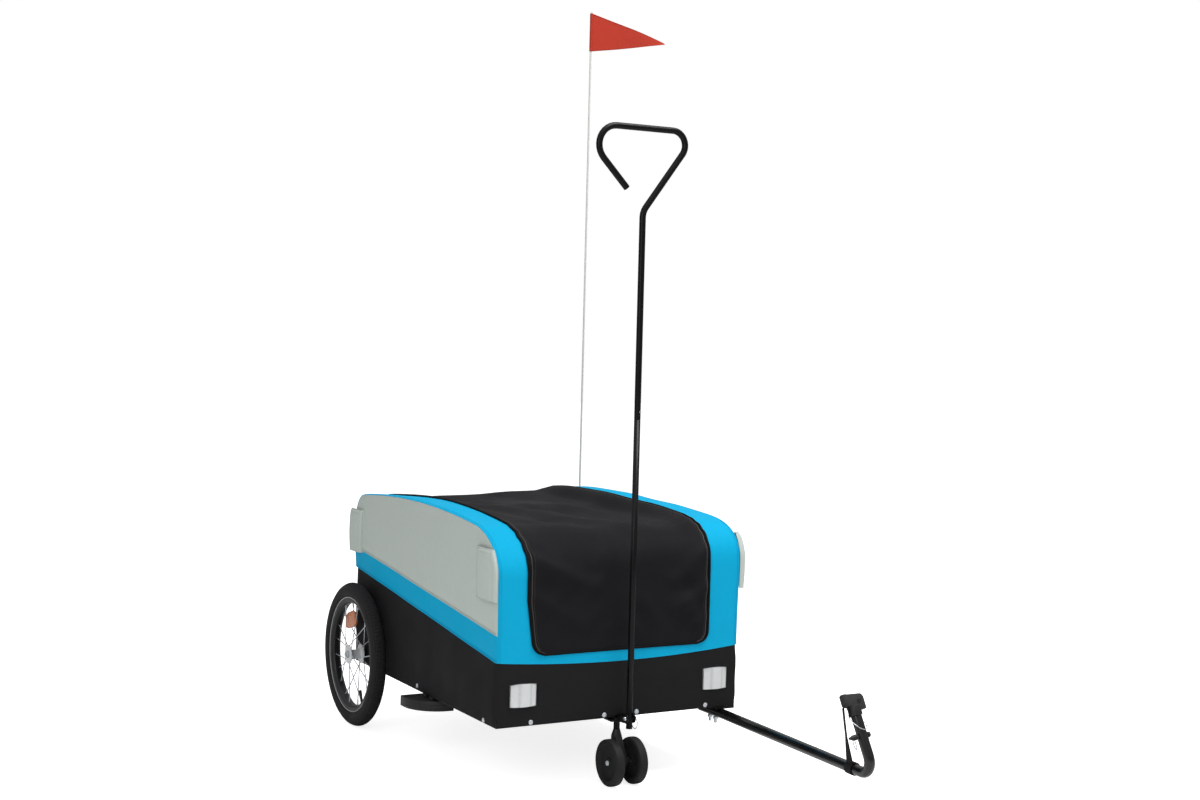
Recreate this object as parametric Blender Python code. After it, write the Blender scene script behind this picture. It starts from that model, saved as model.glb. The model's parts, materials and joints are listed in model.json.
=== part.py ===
"""Bicycle cargo trailer: fabric tub on a tube frame, pull handle, caster, towing arm and flag.

Metres, +Z up. While it is modelled, x = 0 is the trailer's middle, y = 0 its front face and
z = 0 the ground. The front faces -Y, so the trailer's own left is +X. The root empty then moves
the whole trailer so that the origin is the middle of its footprint.
"""
import math

import bmesh
import bpy
from mathutils import Matrix, Vector

# Fits and small edges
GAP = 0.0003            # between pieces that touch
RUN = 0.0005            # between pieces that turn or slide on each other
CHAMFER = 0.001

# Tub
BODY_WIDTH = 0.685
BODY_LENGTH = 0.924
SKIN = 0.002            # fabric walls
CROWN_Z = 0.6635        # highest line of the tub's sides
CROWN_Y = 0.520
CROWN_FALL = 0.149      # metres of fall for each square metre of distance from the crown
FRONT_CORNER_LENGTH = 0.140
FRONT_CORNER_DROP = 0.093
REAR_CORNER_LENGTH = 0.045
REAR_CORNER_DROP = 0.055
SKIRT_TOP_FRONT = 0.3240
SKIRT_TOP_REAR = 0.4376
SKIRT_TOP_SAG = 0.0170  # its front edge hangs lower in the middle
STRIPE_TOP_FRONT = 0.389
STRIPE_TOP_REAR = 0.495
BAND_WIDTH = 0.080

# Lid
COVER_LOW_FRONT = 0.337
COVER_LOW_REAR = 0.462
COVER_CORNER_RADIUS = 0.030
COVER_TAPER = 0.018     # narrower at its lower front edge, each side
COVER_TAPER_TOP = 0.470
COVER_SKIN = 0.0025
COVER_SAG = 0.026
COVER_SLACK = 0.0015    # least distance inside the outline, so that it never stands proud
COVER_FRONT_HOLLOW = 0.006
COVER_FOLD = 0.003
COVER_PULL = 0.180      # height over which the front folds run out

# Frame
RAIL = 0.020            # square tube
CROSS_MEMBER_Y = 0.400
AXLE_FROM_REAR = 0.0804
AXLE_TUBE_RADIUS = 0.0127
FLOOR_THICKNESS = 0.004
HOOP_RADIUS = 0.008
CROSSBAR_RADIUS = 0.006
CROSSBAR_DROP = 0.024   # below the tub's rear edge

# Big wheels, 47-305
TYRE_RADIUS = 0.1995
TYRE_WIDTH = 0.042
TYRE_SHAPE = ((0.12, 0.86), (0.40, 1.0), (0.70, 0.84), (0.89, 0.55), (0.97, 0.34), (1.0, 0.10))
WHEEL_CLEARANCE = 0.010
WHEEL_STEPS = 40        # facets round the rim and tyre
RIM_RADIUS = 0.1585
RIM_DEPTH = 0.016
RIM_FLANGE = 0.010      # straight outer wall of the rim
RIM_WELL = 0.0035
RIM_WIDTH = 0.028
RIM_WALL = 0.003
HUB_FLANGE_RADIUS = 0.0265
HUB_FLANGE_SPACING = 0.036
HUB_FLANGE_THICKNESS = 0.003
HUB_BARREL_RADIUS = 0.0130
HUB_FACE_RADIUS = 0.0170
HUB_INNER_NOSE = 0.0055 # past the inner flange
HUB_OUTER_NOSE = 0.0010
SPOKE_RADIUS = 0.0011
SPOKE_CIRCLE = 0.0225
SPOKE_STAGGER = 0.0013  # leading and trailing spokes leave opposite faces of a flange
SPOKE_RIM_OFFSET = 0.002
SPOKES = 20
SPOKE_LACING = 0.62     # radians from hub hole to rim hole
REFLECTOR_RADIUS = 0.097
REFLECTOR_LENGTH = 0.045        # along the wheel's radius
REFLECTOR_WIDTH = 0.076
REFLECTOR_CORNER = 0.018
REFLECTOR_THICKNESS = 0.0100
REFLECTOR_ANGLE = math.radians(17.8)
AXLE_PIN_RADIUS = 0.006
AXLE_PIN_REACH = 0.070  # how far it goes into the axle tube
AXLE_PIN_NOSE = 0.003
AXLE_HEAD_RADIUS = 0.0100
AXLE_HEAD_LENGTH = 0.0050
BUTTON_RADIUS = 0.0058
BUTTON_PROUD = 0.0034
BUTTON_TRAVEL = 0.0025
BUTTON_REST = 0.0004    # left under it when it is pressed home

# Wheel guards
GUARD_REACH = 0.046     # past the side of the tub
GUARD_DEPTH = 0.115
GUARD_INNER = 0.100
GUARD_RADIUS = 0.090
GUARD_HEIGHT = 0.026
GUARD_WALL = 0.003
GUARD_FRONT_Y = 0.357
GUARD_DROP = 0.0080     # its top below the rails
GUARD_BOSS_RADIUS = 0.008

# Caster
CASTER_RADIUS = 0.058
CASTER_WIDTH = 0.0245
CASTER_SPACING = 0.065
CASTER_STEM_Y = 0.016
CASTER_TRAIL = 0.029
CASTER_BOLT_RADIUS = 0.004
CASTER_BOLT_HEAD = 0.0062
CASTER_POST_RADIUS = 0.008
CASTER_STEM_RADIUS = 0.005
CASTER_PLATE = 0.005
CASTER_PLATE_WIDTH = 0.056
CASTER_PLATE_LENGTH = 0.044
CASTER_POST_LENGTH = 0.027
CASTER_CONE_RADIUS = 0.0135
CASTER_CONE_HEIGHT = 0.018
CASTER_LEG_WIDTH = 0.018
CASTER_LEG_TOP = 0.0100
CASTER_LEG_FOOT = 0.0145
CASTER_SPACER_RADIUS = 0.0100
CASTER_DISH = 0.0045
CASTER_DISH_RADIUS = 0.0435
CASTER_HUB_RADIUS = 0.0140
CASTER_HUB_RECESS = 0.0095
CASTER_CROWN_RADIUS = 0.0480
CASTER_SHOULDER = 0.0035
CASTER_SHOULDER_DROP = 0.0030
CASTER_TREAD_DROP = 0.0085

# Pull handle
HANDLE_RADIUS = 0.008
HANDLE_BORE = 0.0068
HANDLE_Y = -0.045
HANDLE_PIVOT_RISE = 0.0055      # above the tray's underside
HANDLE_TAIL = 0.025
HANDLE_SPLIT_Z = 0.905
HANDLE_SPIGOT = 0.060
HANDLE_TOP_Z = 1.613
HANDLE_BEND_Z = 1.411
HANDLE_LEFT_CORNER_X = 0.150    # where the straight runs would meet
HANDLE_RIGHT_CORNER_X = -0.1895
HANDLE_TIP_X = -0.0462
HANDLE_TIP_Z = 1.4654
HANDLE_BEND_RADIUS = 0.045
HANDLE_LEFT_RADIUS = 0.035
HANDLE_RIGHT_RADIUS = 0.047
HANDLE_PIN_RADIUS = 0.0032
HANDLE_PIN_HEAD = 0.0055
HANDLE_PIN_END = 0.006
SNAP_BUTTON_RISE = 0.020        # above the split
SNAP_BUTTON_RADIUS = 0.0035
SNAP_BUTTON_PROUD = 0.0018
SNAP_BUTTON_TRAVEL = 0.003
SNAP_BUTTON_FACING = math.radians(30)
EAR_THICKNESS = 0.003
EAR_RADIUS = 0.012
EAR_RISE = 0.006                # above the bracket's plate
EAR_DROP = 0.004                # below it
RING_RADIUS = 0.0135
RING_WIRE = 0.0010
BRACKET_PLATE = 0.004
BRACKET_MARGIN = 0.006
BRACKET_BACK = 0.038

# Towing arm
DRAWBAR_RADIUS = 0.0127
DRAWBAR_INSET = 0.0355          # from the side of the tub
DRAWBAR_PIVOT_Y = 0.062
DRAWBAR_TAIL = 0.045
DRAWBAR_LEVEL = 0.052           # level run ahead of the pivot
DRAWBAR_REACH = 0.679           # pivot to the bend
DRAWBAR_FALL = 0.0142
DRAWBAR_EASE_RADIUS = 0.200
DRAWBAR_BEND_RADIUS = 0.030
ARM_LEAN = -0.012
ARM_BACK = 0.059
ARM_RISE = 0.128
BOLT_SPACING = 0.026
BOLT_RADIUS = 0.004
BOLT_HANG = 0.017
NUT_RADIUS = 0.0070
NUT_HEIGHT = 0.006
DRAWBAR_PLATE = 0.007
DRAWBAR_PLATE_INNER = 0.022
DRAWBAR_PLATE_BACK = 0.036
HITCH_BORE = 0.0095
HITCH_STEM_LENGTH = 0.056
HITCH_TURN = math.radians(30)   # each way
COUPLER_RADIUS = 0.0160
COUPLER_HEIGHT = 0.024
CAP_WIDTH = 0.058
CAP_HEIGHT = 0.024
CAP_THICKNESS = 0.026
CAP_CORNER = 0.010
CAP_SHIFT = 0.002
HITCH_PIN_RADIUS = 0.004
HITCH_PIN_DOWN = 0.046          # below the arm's top end
HITCH_PIN_KNOB = 0.0065
HITCH_PIN_KNOB_LENGTH = 0.007
HITCH_PIN_NOSE = 0.016          # past the arm on the side away from the knob
STRAP_THICKNESS = 0.0024
STRAP_WIDTH = 0.024
STRAP_FROM_BEND = 0.083
STRAP_BOW = 0.004
STRAP_TAPER = 0.16
STRAP_TWIST = math.radians(30)  # all of it in the lower half
STRAP_TOP_X = -0.024            # from the arm's axis

# Flag
POLE_RADIUS = 0.003
POLE_FROM_REAR = 0.0514
POLE_TOP_Z = 2.070
PENNANT_LENGTH = 0.2545
PENNANT_HOIST = 0.1115
PENNANT_DROOP = 0.007
PENNANT_TOP_GAP = 0.004
PENNANT_THICKNESS = 0.0016
PENNANT_WAVE = 0.006
PENNANT_TIP = 0.003
SLEEVE_RADIUS = 0.0048
SLEEVE_LENGTH = 0.105
SLEEVE_FLOOR = 0.002
SLEEVE_DROP = 0.012             # below the rear flap's lower edge

# Corner flaps
FLAP_SKIN = 0.0018
FLAP_PROUD = 0.0125
FLAP_SWELL = ((0.0, 0.94), (0.30, 1.0), (0.80, 1.0), (0.95, 0.97), (1.0, 0.92))
REAR_FLAP_SHAPE = ((0.0, 0.06), (0.05, 0.62), (0.16, 0.92), (0.50, 1.0), (0.86, 0.94), (1.0, 0.70))
REAR_FLAP_START = 0.064         # ahead of the tub's rear
REAR_FLAP_LENGTH = 0.076
REAR_FLAP_HEIGHT = 0.118
REAR_FLAP_DROP = 0.0405         # its top below the tub's outline
FRONT_FLAP_EDGE = 0.001         # its outer edge behind the tub's front outline
FRONT_FLAP_END = 0.118          # its inner edge, from the tub's front
FRONT_FLAP_TOP_Z = 0.592
FRONT_FLAP_HEIGHT = 0.122
FRONT_FLAP_SHAPE = ((0.0, 0.05), (0.06, 0.38), (0.20, 0.60), (0.55, 0.70), (0.88, 0.56), (1.0, 0.25))

# Reflectors on the tub
LAMP_WIDTH = 0.070
LAMP_HEIGHT = 0.052
LAMP_PROUD = 0.008
LAMP_CORNER = 0.006
LAMP_DOME = 0.012
LAMP_INSET = 0.0695
LAMP_RISE = 0.0765              # above the tray's underside

# Worked out from the sizes above
HALF_WIDTH = BODY_WIDTH / 2
AXLE_Y = BODY_LENGTH - AXLE_FROM_REAR
AXLE_Z = TYRE_RADIUS
RAIL_TOP = AXLE_Z - AXLE_TUBE_RADIUS - GAP
TRAY_BOTTOM = RAIL_TOP - RAIL
FRAME_INSET = SKIN + GAP
FRAME_HALF = HALF_WIDTH - FRAME_INSET
WHEEL_X = HALF_WIDTH + WHEEL_CLEARANCE + TYRE_WIDTH / 2
RIM_BED_RADIUS = RIM_RADIUS - RIM_DEPTH
COVER_HALF = HALF_WIDTH - BAND_WIDTH
DRAWBAR_X = HALF_WIDTH - DRAWBAR_INSET
HANDLE_PIVOT_Z = TRAY_BOTTOM + HANDLE_PIVOT_RISE
POLE_Y = BODY_LENGTH - POLE_FROM_REAR
REAR_FLAP_Y = BODY_LENGTH - REAR_FLAP_START
SIDES = (("left", 1), ("right", -1))


def material(name, colour, roughness, metallic=0.0):
    """A Principled material in linear colour."""
    made = bpy.data.materials.new(name)
    made.use_nodes = True
    shader = made.node_tree.nodes["Principled BSDF"]
    shader.inputs["Base Color"].default_value = (*colour, 1.0)
    shader.inputs["Roughness"].default_value = roughness
    shader.inputs["Metallic"].default_value = metallic
    made.diffuse_color = (*colour, 1.0)
    return made


def make_materials():
    """Every finish of the trailer."""
    finishes = {
        "black_polyester": ((0.018, 0.018, 0.019), 0.85),
        "blue_polyester": ((0.020, 0.400, 0.720), 0.75),
        "grey_polyester": ((0.370, 0.410, 0.390), 0.80),
        "black_plastic": ((0.012, 0.012, 0.013), 0.55),
        "black_steel": ((0.010, 0.010, 0.011), 0.35),
        "rubber": ((0.012, 0.012, 0.012), 0.80),
        "rim": ((0.080, 0.080, 0.085), 0.35, 0.7),
        "zinc": ((0.600, 0.610, 0.620), 0.30, 1.0),
        "clear_reflector": ((0.620, 0.620, 0.620), 0.15),
        "red_reflector": ((0.450, 0.010, 0.008), 0.15),
        "amber_reflector": ((0.700, 0.170, 0.020), 0.20),
        "red_nylon": ((0.580, 0.050, 0.030), 0.70),
        "white_rod": ((0.750, 0.750, 0.750), 0.40),
        "webbing": ((0.014, 0.014, 0.015), 0.90),
    }
    return {name: material(name, *look) for name, look in finishes.items()}


def empty(name, location, parent):
    """An axis that the pieces of one moving group hang on."""
    made = bpy.data.objects.new(name, None)
    made.location = location
    made.parent = parent
    bpy.context.scene.collection.objects.link(made)
    return made


def add(name, shape, finish, parent, crease=35):
    """Turn a bmesh into a named object and return it."""
    bmesh.ops.recalc_face_normals(shape, faces=shape.faces)
    mesh = bpy.data.meshes.new(name)
    shape.to_mesh(mesh)
    shape.free()
    mesh.shade_smooth()
    mesh.set_sharp_from_angle(angle=math.radians(crease))
    made = bpy.data.objects.new(name, mesh)
    made.data.materials.append(FINISHES[finish])
    made.parent = parent
    bpy.context.scene.collection.objects.link(made)
    return made


def combine(target, shape, operation, label):
    """Cut a hidden tool shape out of the target, or fuse it on."""
    tool = add(f"{target.name}.{label}", shape, "black_steel", target.parent)
    tool.hide_render = True
    tool.display_type = "WIRE"
    step = target.modifiers.new(label, "BOOLEAN")
    step.operation = operation
    step.solver = "EXACT"
    step.object = tool


def cut(target, shape, label):
    combine(target, shape, "DIFFERENCE", label)


def fuse(target, shape, label):
    combine(target, shape, "UNION", label)


def loft(rings, closed=False):
    """A closed solid through rings of points, capped unless the rings meet end to end."""
    shape = bmesh.new()
    made = [[shape.verts.new(point) for point in ring] for ring in rings]
    pairs = list(zip(made, made[1:]))
    if closed:
        pairs.append((made[-1], made[0]))
    for first, second in pairs:
        for i in range(len(first)):
            j = (i + 1) % len(first)
            shape.faces.new([first[i], first[j], second[j], second[i]])
    if not closed:
        shape.faces.new(made[0])
        shape.faces.new(made[-1])
    return shape


AXES = {
    "X": lambda r, h, a: (h, r * math.sin(a), r * math.cos(a)),
    "Y": lambda r, h, a: (r * math.sin(a), h, r * math.cos(a)),
    "Z": lambda r, h, a: (r * math.sin(a), r * math.cos(a), h),
}


def lathe(profile, steps, axis="Z", centre=(0, 0, 0)):
    """Turn a closed outline of (radius, height) points about an axis."""
    place = AXES[axis]
    shape = bmesh.new()
    centre = Vector(centre)
    columns = []
    for radius, height in profile:
        if radius == 0:
            pole = shape.verts.new(Vector(place(0, height, 0)) + centre)
            columns.append([pole] * steps)
            continue
        angles = [2 * math.pi * k / steps for k in range(steps)]
        columns.append([shape.verts.new(Vector(place(radius, height, a)) + centre) for a in angles])
    for first, second in zip(columns, columns[1:] + columns[:1]):
        for i in range(steps):
            j = (i + 1) % steps
            corners = list(dict.fromkeys([first[i], first[j], second[j], second[i]]))
            if len(corners) > 2:
                shape.faces.new(corners)
    return shape


def rod(radius, low, high, steps=16, axis="Z", centre=(0, 0, 0)):
    """A plain round bar along an axis."""
    return lathe([(0, low), (radius, low), (radius, high), (0, high)], steps, axis, centre)


def pipe(radius, bore, low, high, steps=20, axis="Z", centre=(0, 0, 0)):
    """A round tube along an axis."""
    outline = [(bore, low), (radius, low), (radius, high), (bore, high)]
    return lathe(outline, steps, axis, centre)


PLANES = {
    "X": lambda u, v, w: (w, u, v),
    "Y": lambda u, v, w: (u, w, v),
    "Z": lambda u, v, w: (u, v, w),
}


def prism(outline, low, high, axis="Z"):
    """A flat outline pushed along an axis; the outline's two numbers are the other two axes."""
    place = PLANES[axis]
    return loft([[place(u, v, w) for u, v in outline] for w in (low, high)])


def block(low, high):
    """A box between two corners."""
    outline = [(low[0], low[1]), (high[0], low[1]), (high[0], high[1]), (low[0], high[1])]
    return prism(outline, low[2], high[2])


def arc(centre, radius, start, end, steps):
    """Points on an arc, angles in radians."""
    angles = [start + (end - start) * k / steps for k in range(steps + 1)]
    return [(centre[0] + radius * math.cos(a), centre[1] + radius * math.sin(a)) for a in angles]


def rounded_box(half_u, half_v, radius, steps=3, centre=(0, 0)):
    """The outline of a rectangle with round corners."""
    points = []
    quarter = math.pi / 2
    for number, (side_u, side_v) in enumerate(((1, 1), (-1, 1), (-1, -1), (1, -1))):
        middle = (centre[0] + side_u * (half_u - radius), centre[1] + side_v * (half_v - radius))
        points += arc(middle, radius, number * quarter, (number + 1) * quarter, steps)
    return points


def round_corners(points, radii, steps=6):
    """Replace each inner corner of a path by an arc of the given radius."""
    path = [points[0]]
    for before, corner, after, radius in zip(points, points[1:], points[2:], radii):
        into = (before - corner).normalized()
        out = (after - corner).normalized()
        half = into.angle(out) / 2
        reach = radius / math.tan(half)
        middle = corner + (into + out).normalized() * (radius / math.sin(half))
        start = corner + into * reach - middle
        end = corner + out * reach - middle
        turn = start.angle(end)
        axis = start.cross(end).normalized()
        path += [middle + Matrix.Rotation(turn * k / steps, 3, axis) @ start for k in range(steps + 1)]
    path.append(points[-1])
    return path


def sweep(path, radius, sides=12):
    """A solid round bar along a path, its section carried along without twist."""
    rings = []
    across = Vector((1, 0, 0))
    for i, point in enumerate(path):
        ahead = (path[min(i + 1, len(path) - 1)] - path[max(i - 1, 0)]).normalized()
        across = (across - ahead * across.dot(ahead)).normalized()
        up = ahead.cross(across)
        angles = [2 * math.pi * k / sides for k in range(sides)]
        rings.append([point + radius * (across * math.cos(a) + up * math.sin(a)) for a in angles])
    return loft(rings)


def sheet(outer, inner):
    """A closed solid between two grids of points, one each side of a cloth or a shell."""
    shape = bmesh.new()
    grids = [[[shape.verts.new(point) for point in row] for row in grid] for grid in (outer, inner)]
    rows, columns = len(outer), len(outer[0])
    for grid, order in zip(grids, (1, -1)):
        for i in range(rows - 1):
            for j in range(columns - 1):
                quad = [grid[i][j], grid[i][j + 1], grid[i + 1][j + 1], grid[i + 1][j]]
                shape.faces.new(quad[::order])
    border = [(0, j) for j in range(columns)]
    border += [(i, columns - 1) for i in range(1, rows)]
    border += [(rows - 1, j) for j in range(columns - 2, -1, -1)]
    border += [(i, 0) for i in range(rows - 2, 0, -1)]
    for (i, j), (k, m) in zip(border, border[1:] + border[:1]):
        shape.faces.new([grids[0][k][m], grids[0][i][j], grids[1][i][j], grids[1][k][m]])
    return shape


def merge(shapes):
    """Put several shapes into one bmesh."""
    whole = bmesh.new()
    for shape in shapes:
        spare = bpy.data.meshes.new("spare")
        shape.to_mesh(spare)
        shape.free()
        whole.from_mesh(spare)
        bpy.data.meshes.remove(spare)
    return whole


def spread(low, high, steps):
    """Evenly spaced values from low up to, but not including, high."""
    return [low + (high - low) * k / steps for k in range(steps)]


def corner_fall(distance, length, drop):
    """How far a rounded end lies below the crown, by distance from that end."""
    if distance >= length:
        return 0.0
    return drop * (1 - math.sqrt(max(0.0, 1 - ((length - distance) / length) ** 2)))


def top_z(y):
    """Height of the tub's side outline."""
    crown = CROWN_Z - CROWN_FALL * (y - CROWN_Y) ** 2
    front = corner_fall(y, FRONT_CORNER_LENGTH, FRONT_CORNER_DROP)
    rear = corner_fall(BODY_LENGTH - y, REAR_CORNER_LENGTH, REAR_CORNER_DROP)
    return crown - front - rear


def skirt_front_z(x):
    """Upper edge of the skirt on the front face."""
    return SKIRT_TOP_FRONT - SKIRT_TOP_SAG * (1 - (x / HALF_WIDTH) ** 2)


def side_line(y, front, rear):
    """A straight seam along the side, from its height at the front to that at the rear."""
    return front + (rear - front) * y / BODY_LENGTH


def cover_half_width(z, low, taper):
    """Half width of the lid at a height on its front or rear face."""
    half = COVER_HALF
    if z < COVER_TAPER_TOP:
        half -= taper * (COVER_TAPER_TOP - max(z, low)) / (COVER_TAPER_TOP - low)
    away = COVER_CORNER_RADIUS - max(0.0, min(COVER_CORNER_RADIUS, z - low))
    return half - COVER_CORNER_RADIUS + math.sqrt(COVER_CORNER_RADIUS ** 2 - away ** 2)


def cover_edge(station):
    """Half width of the lid at a station of the side outline."""
    if station[4] == "top":
        return COVER_HALF
    if station[4] == "front":
        return cover_half_width(station[1], COVER_LOW_FRONT, COVER_TAPER)
    return cover_half_width(station[1], COVER_LOW_REAR, 0.0)


def corner_heights(low):
    """Heights that follow the lid's round lower corner."""
    return [low + COVER_CORNER_RADIUS * (1 - math.cos(math.pi / 6 * k)) for k in range(4)]


def side_outline(front_heights, rear_heights, corner_steps=8, crown_steps=8, rear_steps=5):
    """Stations along the tub's side outline from the front up, over and down the rear.

    Each is (y, z, outward y, outward z, face), with the face front, top or rear.
    """
    quarter = math.pi / 2
    crown_end = BODY_LENGTH - REAR_CORNER_LENGTH
    front_turns = [math.cos(quarter * k / corner_steps) for k in range(corner_steps)]
    rear_turns = [math.sin(quarter * k / rear_steps) for k in range(rear_steps)]
    places = [FRONT_CORNER_LENGTH * (1 - turn) for turn in front_turns]
    places += spread(FRONT_CORNER_LENGTH, crown_end, crown_steps)
    places += [crown_end + REAR_CORNER_LENGTH * turn for turn in rear_turns]
    stations = [(0.0, z, -1.0, 0.0, "front") for z in front_heights]
    for y in places + [BODY_LENGTH]:
        before, after = max(0.0, y - GAP), min(BODY_LENGTH, y + GAP)
        along = Vector((after - before, top_z(after) - top_z(before))).normalized()
        stations.append((y, top_z(y), -along.y, along.x, "top"))
    return stations + [(BODY_LENGTH, z, 1.0, 0.0, "rear") for z in rear_heights]


def inset(station, depth):
    """The point that lies a depth inside the outline at a station."""
    y, z, out_y, out_z, _ = station
    return y - out_y * depth, z - out_z * depth


def make_frame(root):
    """Ladder of square tube, cut from its outline bay by bay, with the axle tube and the floor."""
    front, rear = FRAME_INSET, BODY_LENGTH - FRAME_INSET
    outline = block((-FRAME_HALF, front, TRAY_BOTTOM), (FRAME_HALF, rear, RAIL_TOP))
    frame = add("base_frame", outline, "black_steel", root)
    bays = ((front + RAIL, CROSS_MEMBER_Y), (CROSS_MEMBER_Y + RAIL, AXLE_Y - RAIL), (AXLE_Y, rear - RAIL))
    inner = FRAME_HALF - RAIL
    for number, (low, high) in enumerate(bays):
        bay = block((-inner, low, TRAY_BOTTOM - RAIL), (inner, high, RAIL_TOP + RAIL))
        cut(frame, bay, f"bay_{number}")
    bore = AXLE_PIN_RADIUS + GAP
    tube = pipe(AXLE_TUBE_RADIUS, bore, -FRAME_HALF, FRAME_HALF, 20, "X", (0, AXLE_Y, AXLE_Z))
    add("axle_tube", tube, "black_steel", root)
    low = RAIL_TOP + GAP
    half = FRAME_HALF - 2 * HOOP_RADIUS - 2 * GAP
    start = FRAME_INSET + 2 * HOOP_RADIUS + GAP
    end = AXLE_Y - AXLE_TUBE_RADIUS - GAP
    board = block((-half, start, low), (half, end, low + FLOOR_THICKNESS))
    add("floor_board", board, "black_plastic", root)


def make_hoops(root):
    """Round-tube hoops that the side cloth is drawn over, and the bar between them."""
    depth = FRAME_INSET + GAP + HOOP_RADIUS
    hoop_x = HALF_WIDTH - depth
    foot = RAIL_TOP + GAP
    stations = side_outline([foot], [foot], crown_steps=6)
    for side, sign in SIDES:
        path = [Vector((sign * hoop_x, *inset(station, depth))) for station in stations]
        add(f"{side}_hoop", sweep(path, HOOP_RADIUS, 10), "black_steel", root)
    reach = hoop_x - HOOP_RADIUS - GAP
    place = (0, BODY_LENGTH - depth, top_z(BODY_LENGTH) - CROSSBAR_DROP)
    add("rear_crossbar", rod(CROSSBAR_RADIUS, -reach, reach, 12, "X", place), "black_steel", root)


def make_skirt(root):
    """Black fabric ring round the frame, its upper edge falling towards the front."""
    columns = 8
    plan = []
    for k in range(columns + 1):
        x = BODY_WIDTH * k / columns - HALF_WIDTH
        inner_x = max(SKIN - HALF_WIDTH, min(HALF_WIDTH - SKIN, x))
        plan.append(((x, 0.0), (inner_x, SKIN), skirt_front_z(x)))
    for _, side in SIDES:
        outside = (side * HALF_WIDTH, BODY_LENGTH)
        inside = (side * (HALF_WIDTH - SKIN), BODY_LENGTH - SKIN)
        plan.append((outside, inside, SKIRT_TOP_REAR))
    rings = [
        [(*outside, TRAY_BOTTOM) for outside, _, _ in plan],
        [(*outside, top) for outside, _, top in plan],
        [(*inside, top) for _, inside, top in plan],
        [(*inside, TRAY_BOTTOM) for _, inside, _ in plan],
    ]
    skirt = add("lower_skirt", loft(rings, closed=True), "black_polyester", root)
    holes = rod(AXLE_PIN_RADIUS + RUN, -BODY_WIDTH, BODY_WIDTH, 16, "X", (0, AXLE_Y, AXLE_Z))
    cut(skirt, holes, "axle_holes")


def make_side(root, side, sign):
    """Blue stripe and grey panel of one side, flat sheets in the side plane."""
    low_x, high_x = sorted((sign * HALF_WIDTH, sign * (HALF_WIDTH - SKIN)))
    ends = (FRAME_INSET, BODY_LENGTH - FRAME_INSET)
    seam = [(y, side_line(y, SKIRT_TOP_FRONT, SKIRT_TOP_REAR) + GAP) for y in ends]
    seam += [(y, side_line(y, STRIPE_TOP_FRONT, STRIPE_TOP_REAR) - GAP) for y in ends[::-1]]
    add(f"{side}_side_stripe", prism(seam, low_x, high_x, "X"), "blue_polyester", root)
    lower = [[side_line(y, STRIPE_TOP_FRONT, STRIPE_TOP_REAR)] for y in ends]
    outline = [inset(station, FRAME_INSET) for station in side_outline(*lower)]
    add(f"{side}_side_panel", prism(outline, low_x, high_x, "X"), "grey_polyester", root)


def make_band(root, side, sign):
    """Blue cloth band up the front, over the hoop and down the back."""
    front = [SKIRT_TOP_FRONT] + corner_heights(COVER_LOW_FRONT) + [COVER_TAPER_TOP]
    rear = [SKIRT_TOP_REAR + GAP] + corner_heights(COVER_LOW_REAR)
    outer, inner = [], []
    for number, station in enumerate(side_outline(front, rear[::-1])):
        edge = cover_edge(station) + GAP
        for grid, depth in ((outer, 0.0), (inner, SKIN)):
            y, z = inset(station, depth)
            row = []
            for x in (HALF_WIDTH, (HALF_WIDTH + edge) / 2, edge):
                foot = skirt_front_z(x) + GAP
                row.append((sign * x, y, foot if number == 0 else z))
            grid.append(row)
    add(f"{side}_band", sheet(outer, inner), "blue_polyester", root)


def make_strips(root):
    """Blue cloth under the lid's lower edge, front and rear."""
    columns = 8
    plans = (
        ("front_strip", 0.0, SKIN, skirt_front_z, COVER_LOW_FRONT, COVER_TAPER),
        ("rear_strip", BODY_LENGTH, -SKIN, lambda x: SKIRT_TOP_REAR, COVER_LOW_REAR, 0.0),
    )
    for name, y, depth, low, high, taper in plans:
        half = cover_half_width(high, high, taper) - GAP
        xs = [half * (2 * k / columns - 1) for k in range(columns + 1)]
        grids = []
        for at in (y, y + depth):
            grids.append([[(x, at, low(x) + GAP) for x in xs], [(x, at, high - GAP) for x in xs]])
        add(name, sheet(*grids), "blue_polyester", root)


def cover_depth(station, across, place):
    """How far the lid lies inside the tub's outline: its sag and its main folds."""
    middle = 1 - across ** 2
    face, z = station[4], station[1]
    if face == "rear":
        return middle * COVER_SLACK
    if face == "top":
        bow = math.sin(math.pi * place)
        fold = COVER_FOLD * math.sin(across * 9.0 + place * 14.0) * bow
        return middle * (COVER_SLACK + COVER_SAG * bow ** 0.7 + fold)
    up = min(1.0, (z - COVER_LOW_FRONT) / COVER_PULL)
    fold = COVER_FOLD * math.sin((abs(across) - 0.25 * up) * 10.0 + 3.0 * up)
    return middle * (COVER_SLACK + (COVER_FRONT_HOLLOW + fold) * up)


def make_cover(root):
    """Black lid: one cloth over the opening, sagging between the bands, with its main folds."""
    lid = empty("cover_slide", (0, 0, 0), root)
    front = corner_heights(COVER_LOW_FRONT)
    front += spread(COVER_LOW_FRONT + 2 * COVER_CORNER_RADIUS, top_z(0), 3)
    rear = spread(top_z(BODY_LENGTH), COVER_LOW_REAR + COVER_CORNER_RADIUS, 2)[1:]
    rear += corner_heights(COVER_LOW_REAR)[::-1]
    stations = side_outline(front, rear, corner_steps=7, crown_steps=9)
    columns = 16
    tops = [number for number, station in enumerate(stations) if station[4] == "top"]
    outer, inner = [], []
    for number, station in enumerate(stations):
        place = (number - tops[0]) / (tops[-1] - tops[0])
        half = cover_edge(station)
        for grid, thickness in ((outer, 0.0), (inner, COVER_SKIN)):
            row = []
            for k in range(columns + 1):
                across = 2 * k / columns - 1
                y, z = inset(station, cover_depth(station, across, place) + thickness)
                row.append((half * across, y, z))
            grid.append(row)
    add("cover", sheet(outer, inner), "black_polyester", lid, crease=60)


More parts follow.
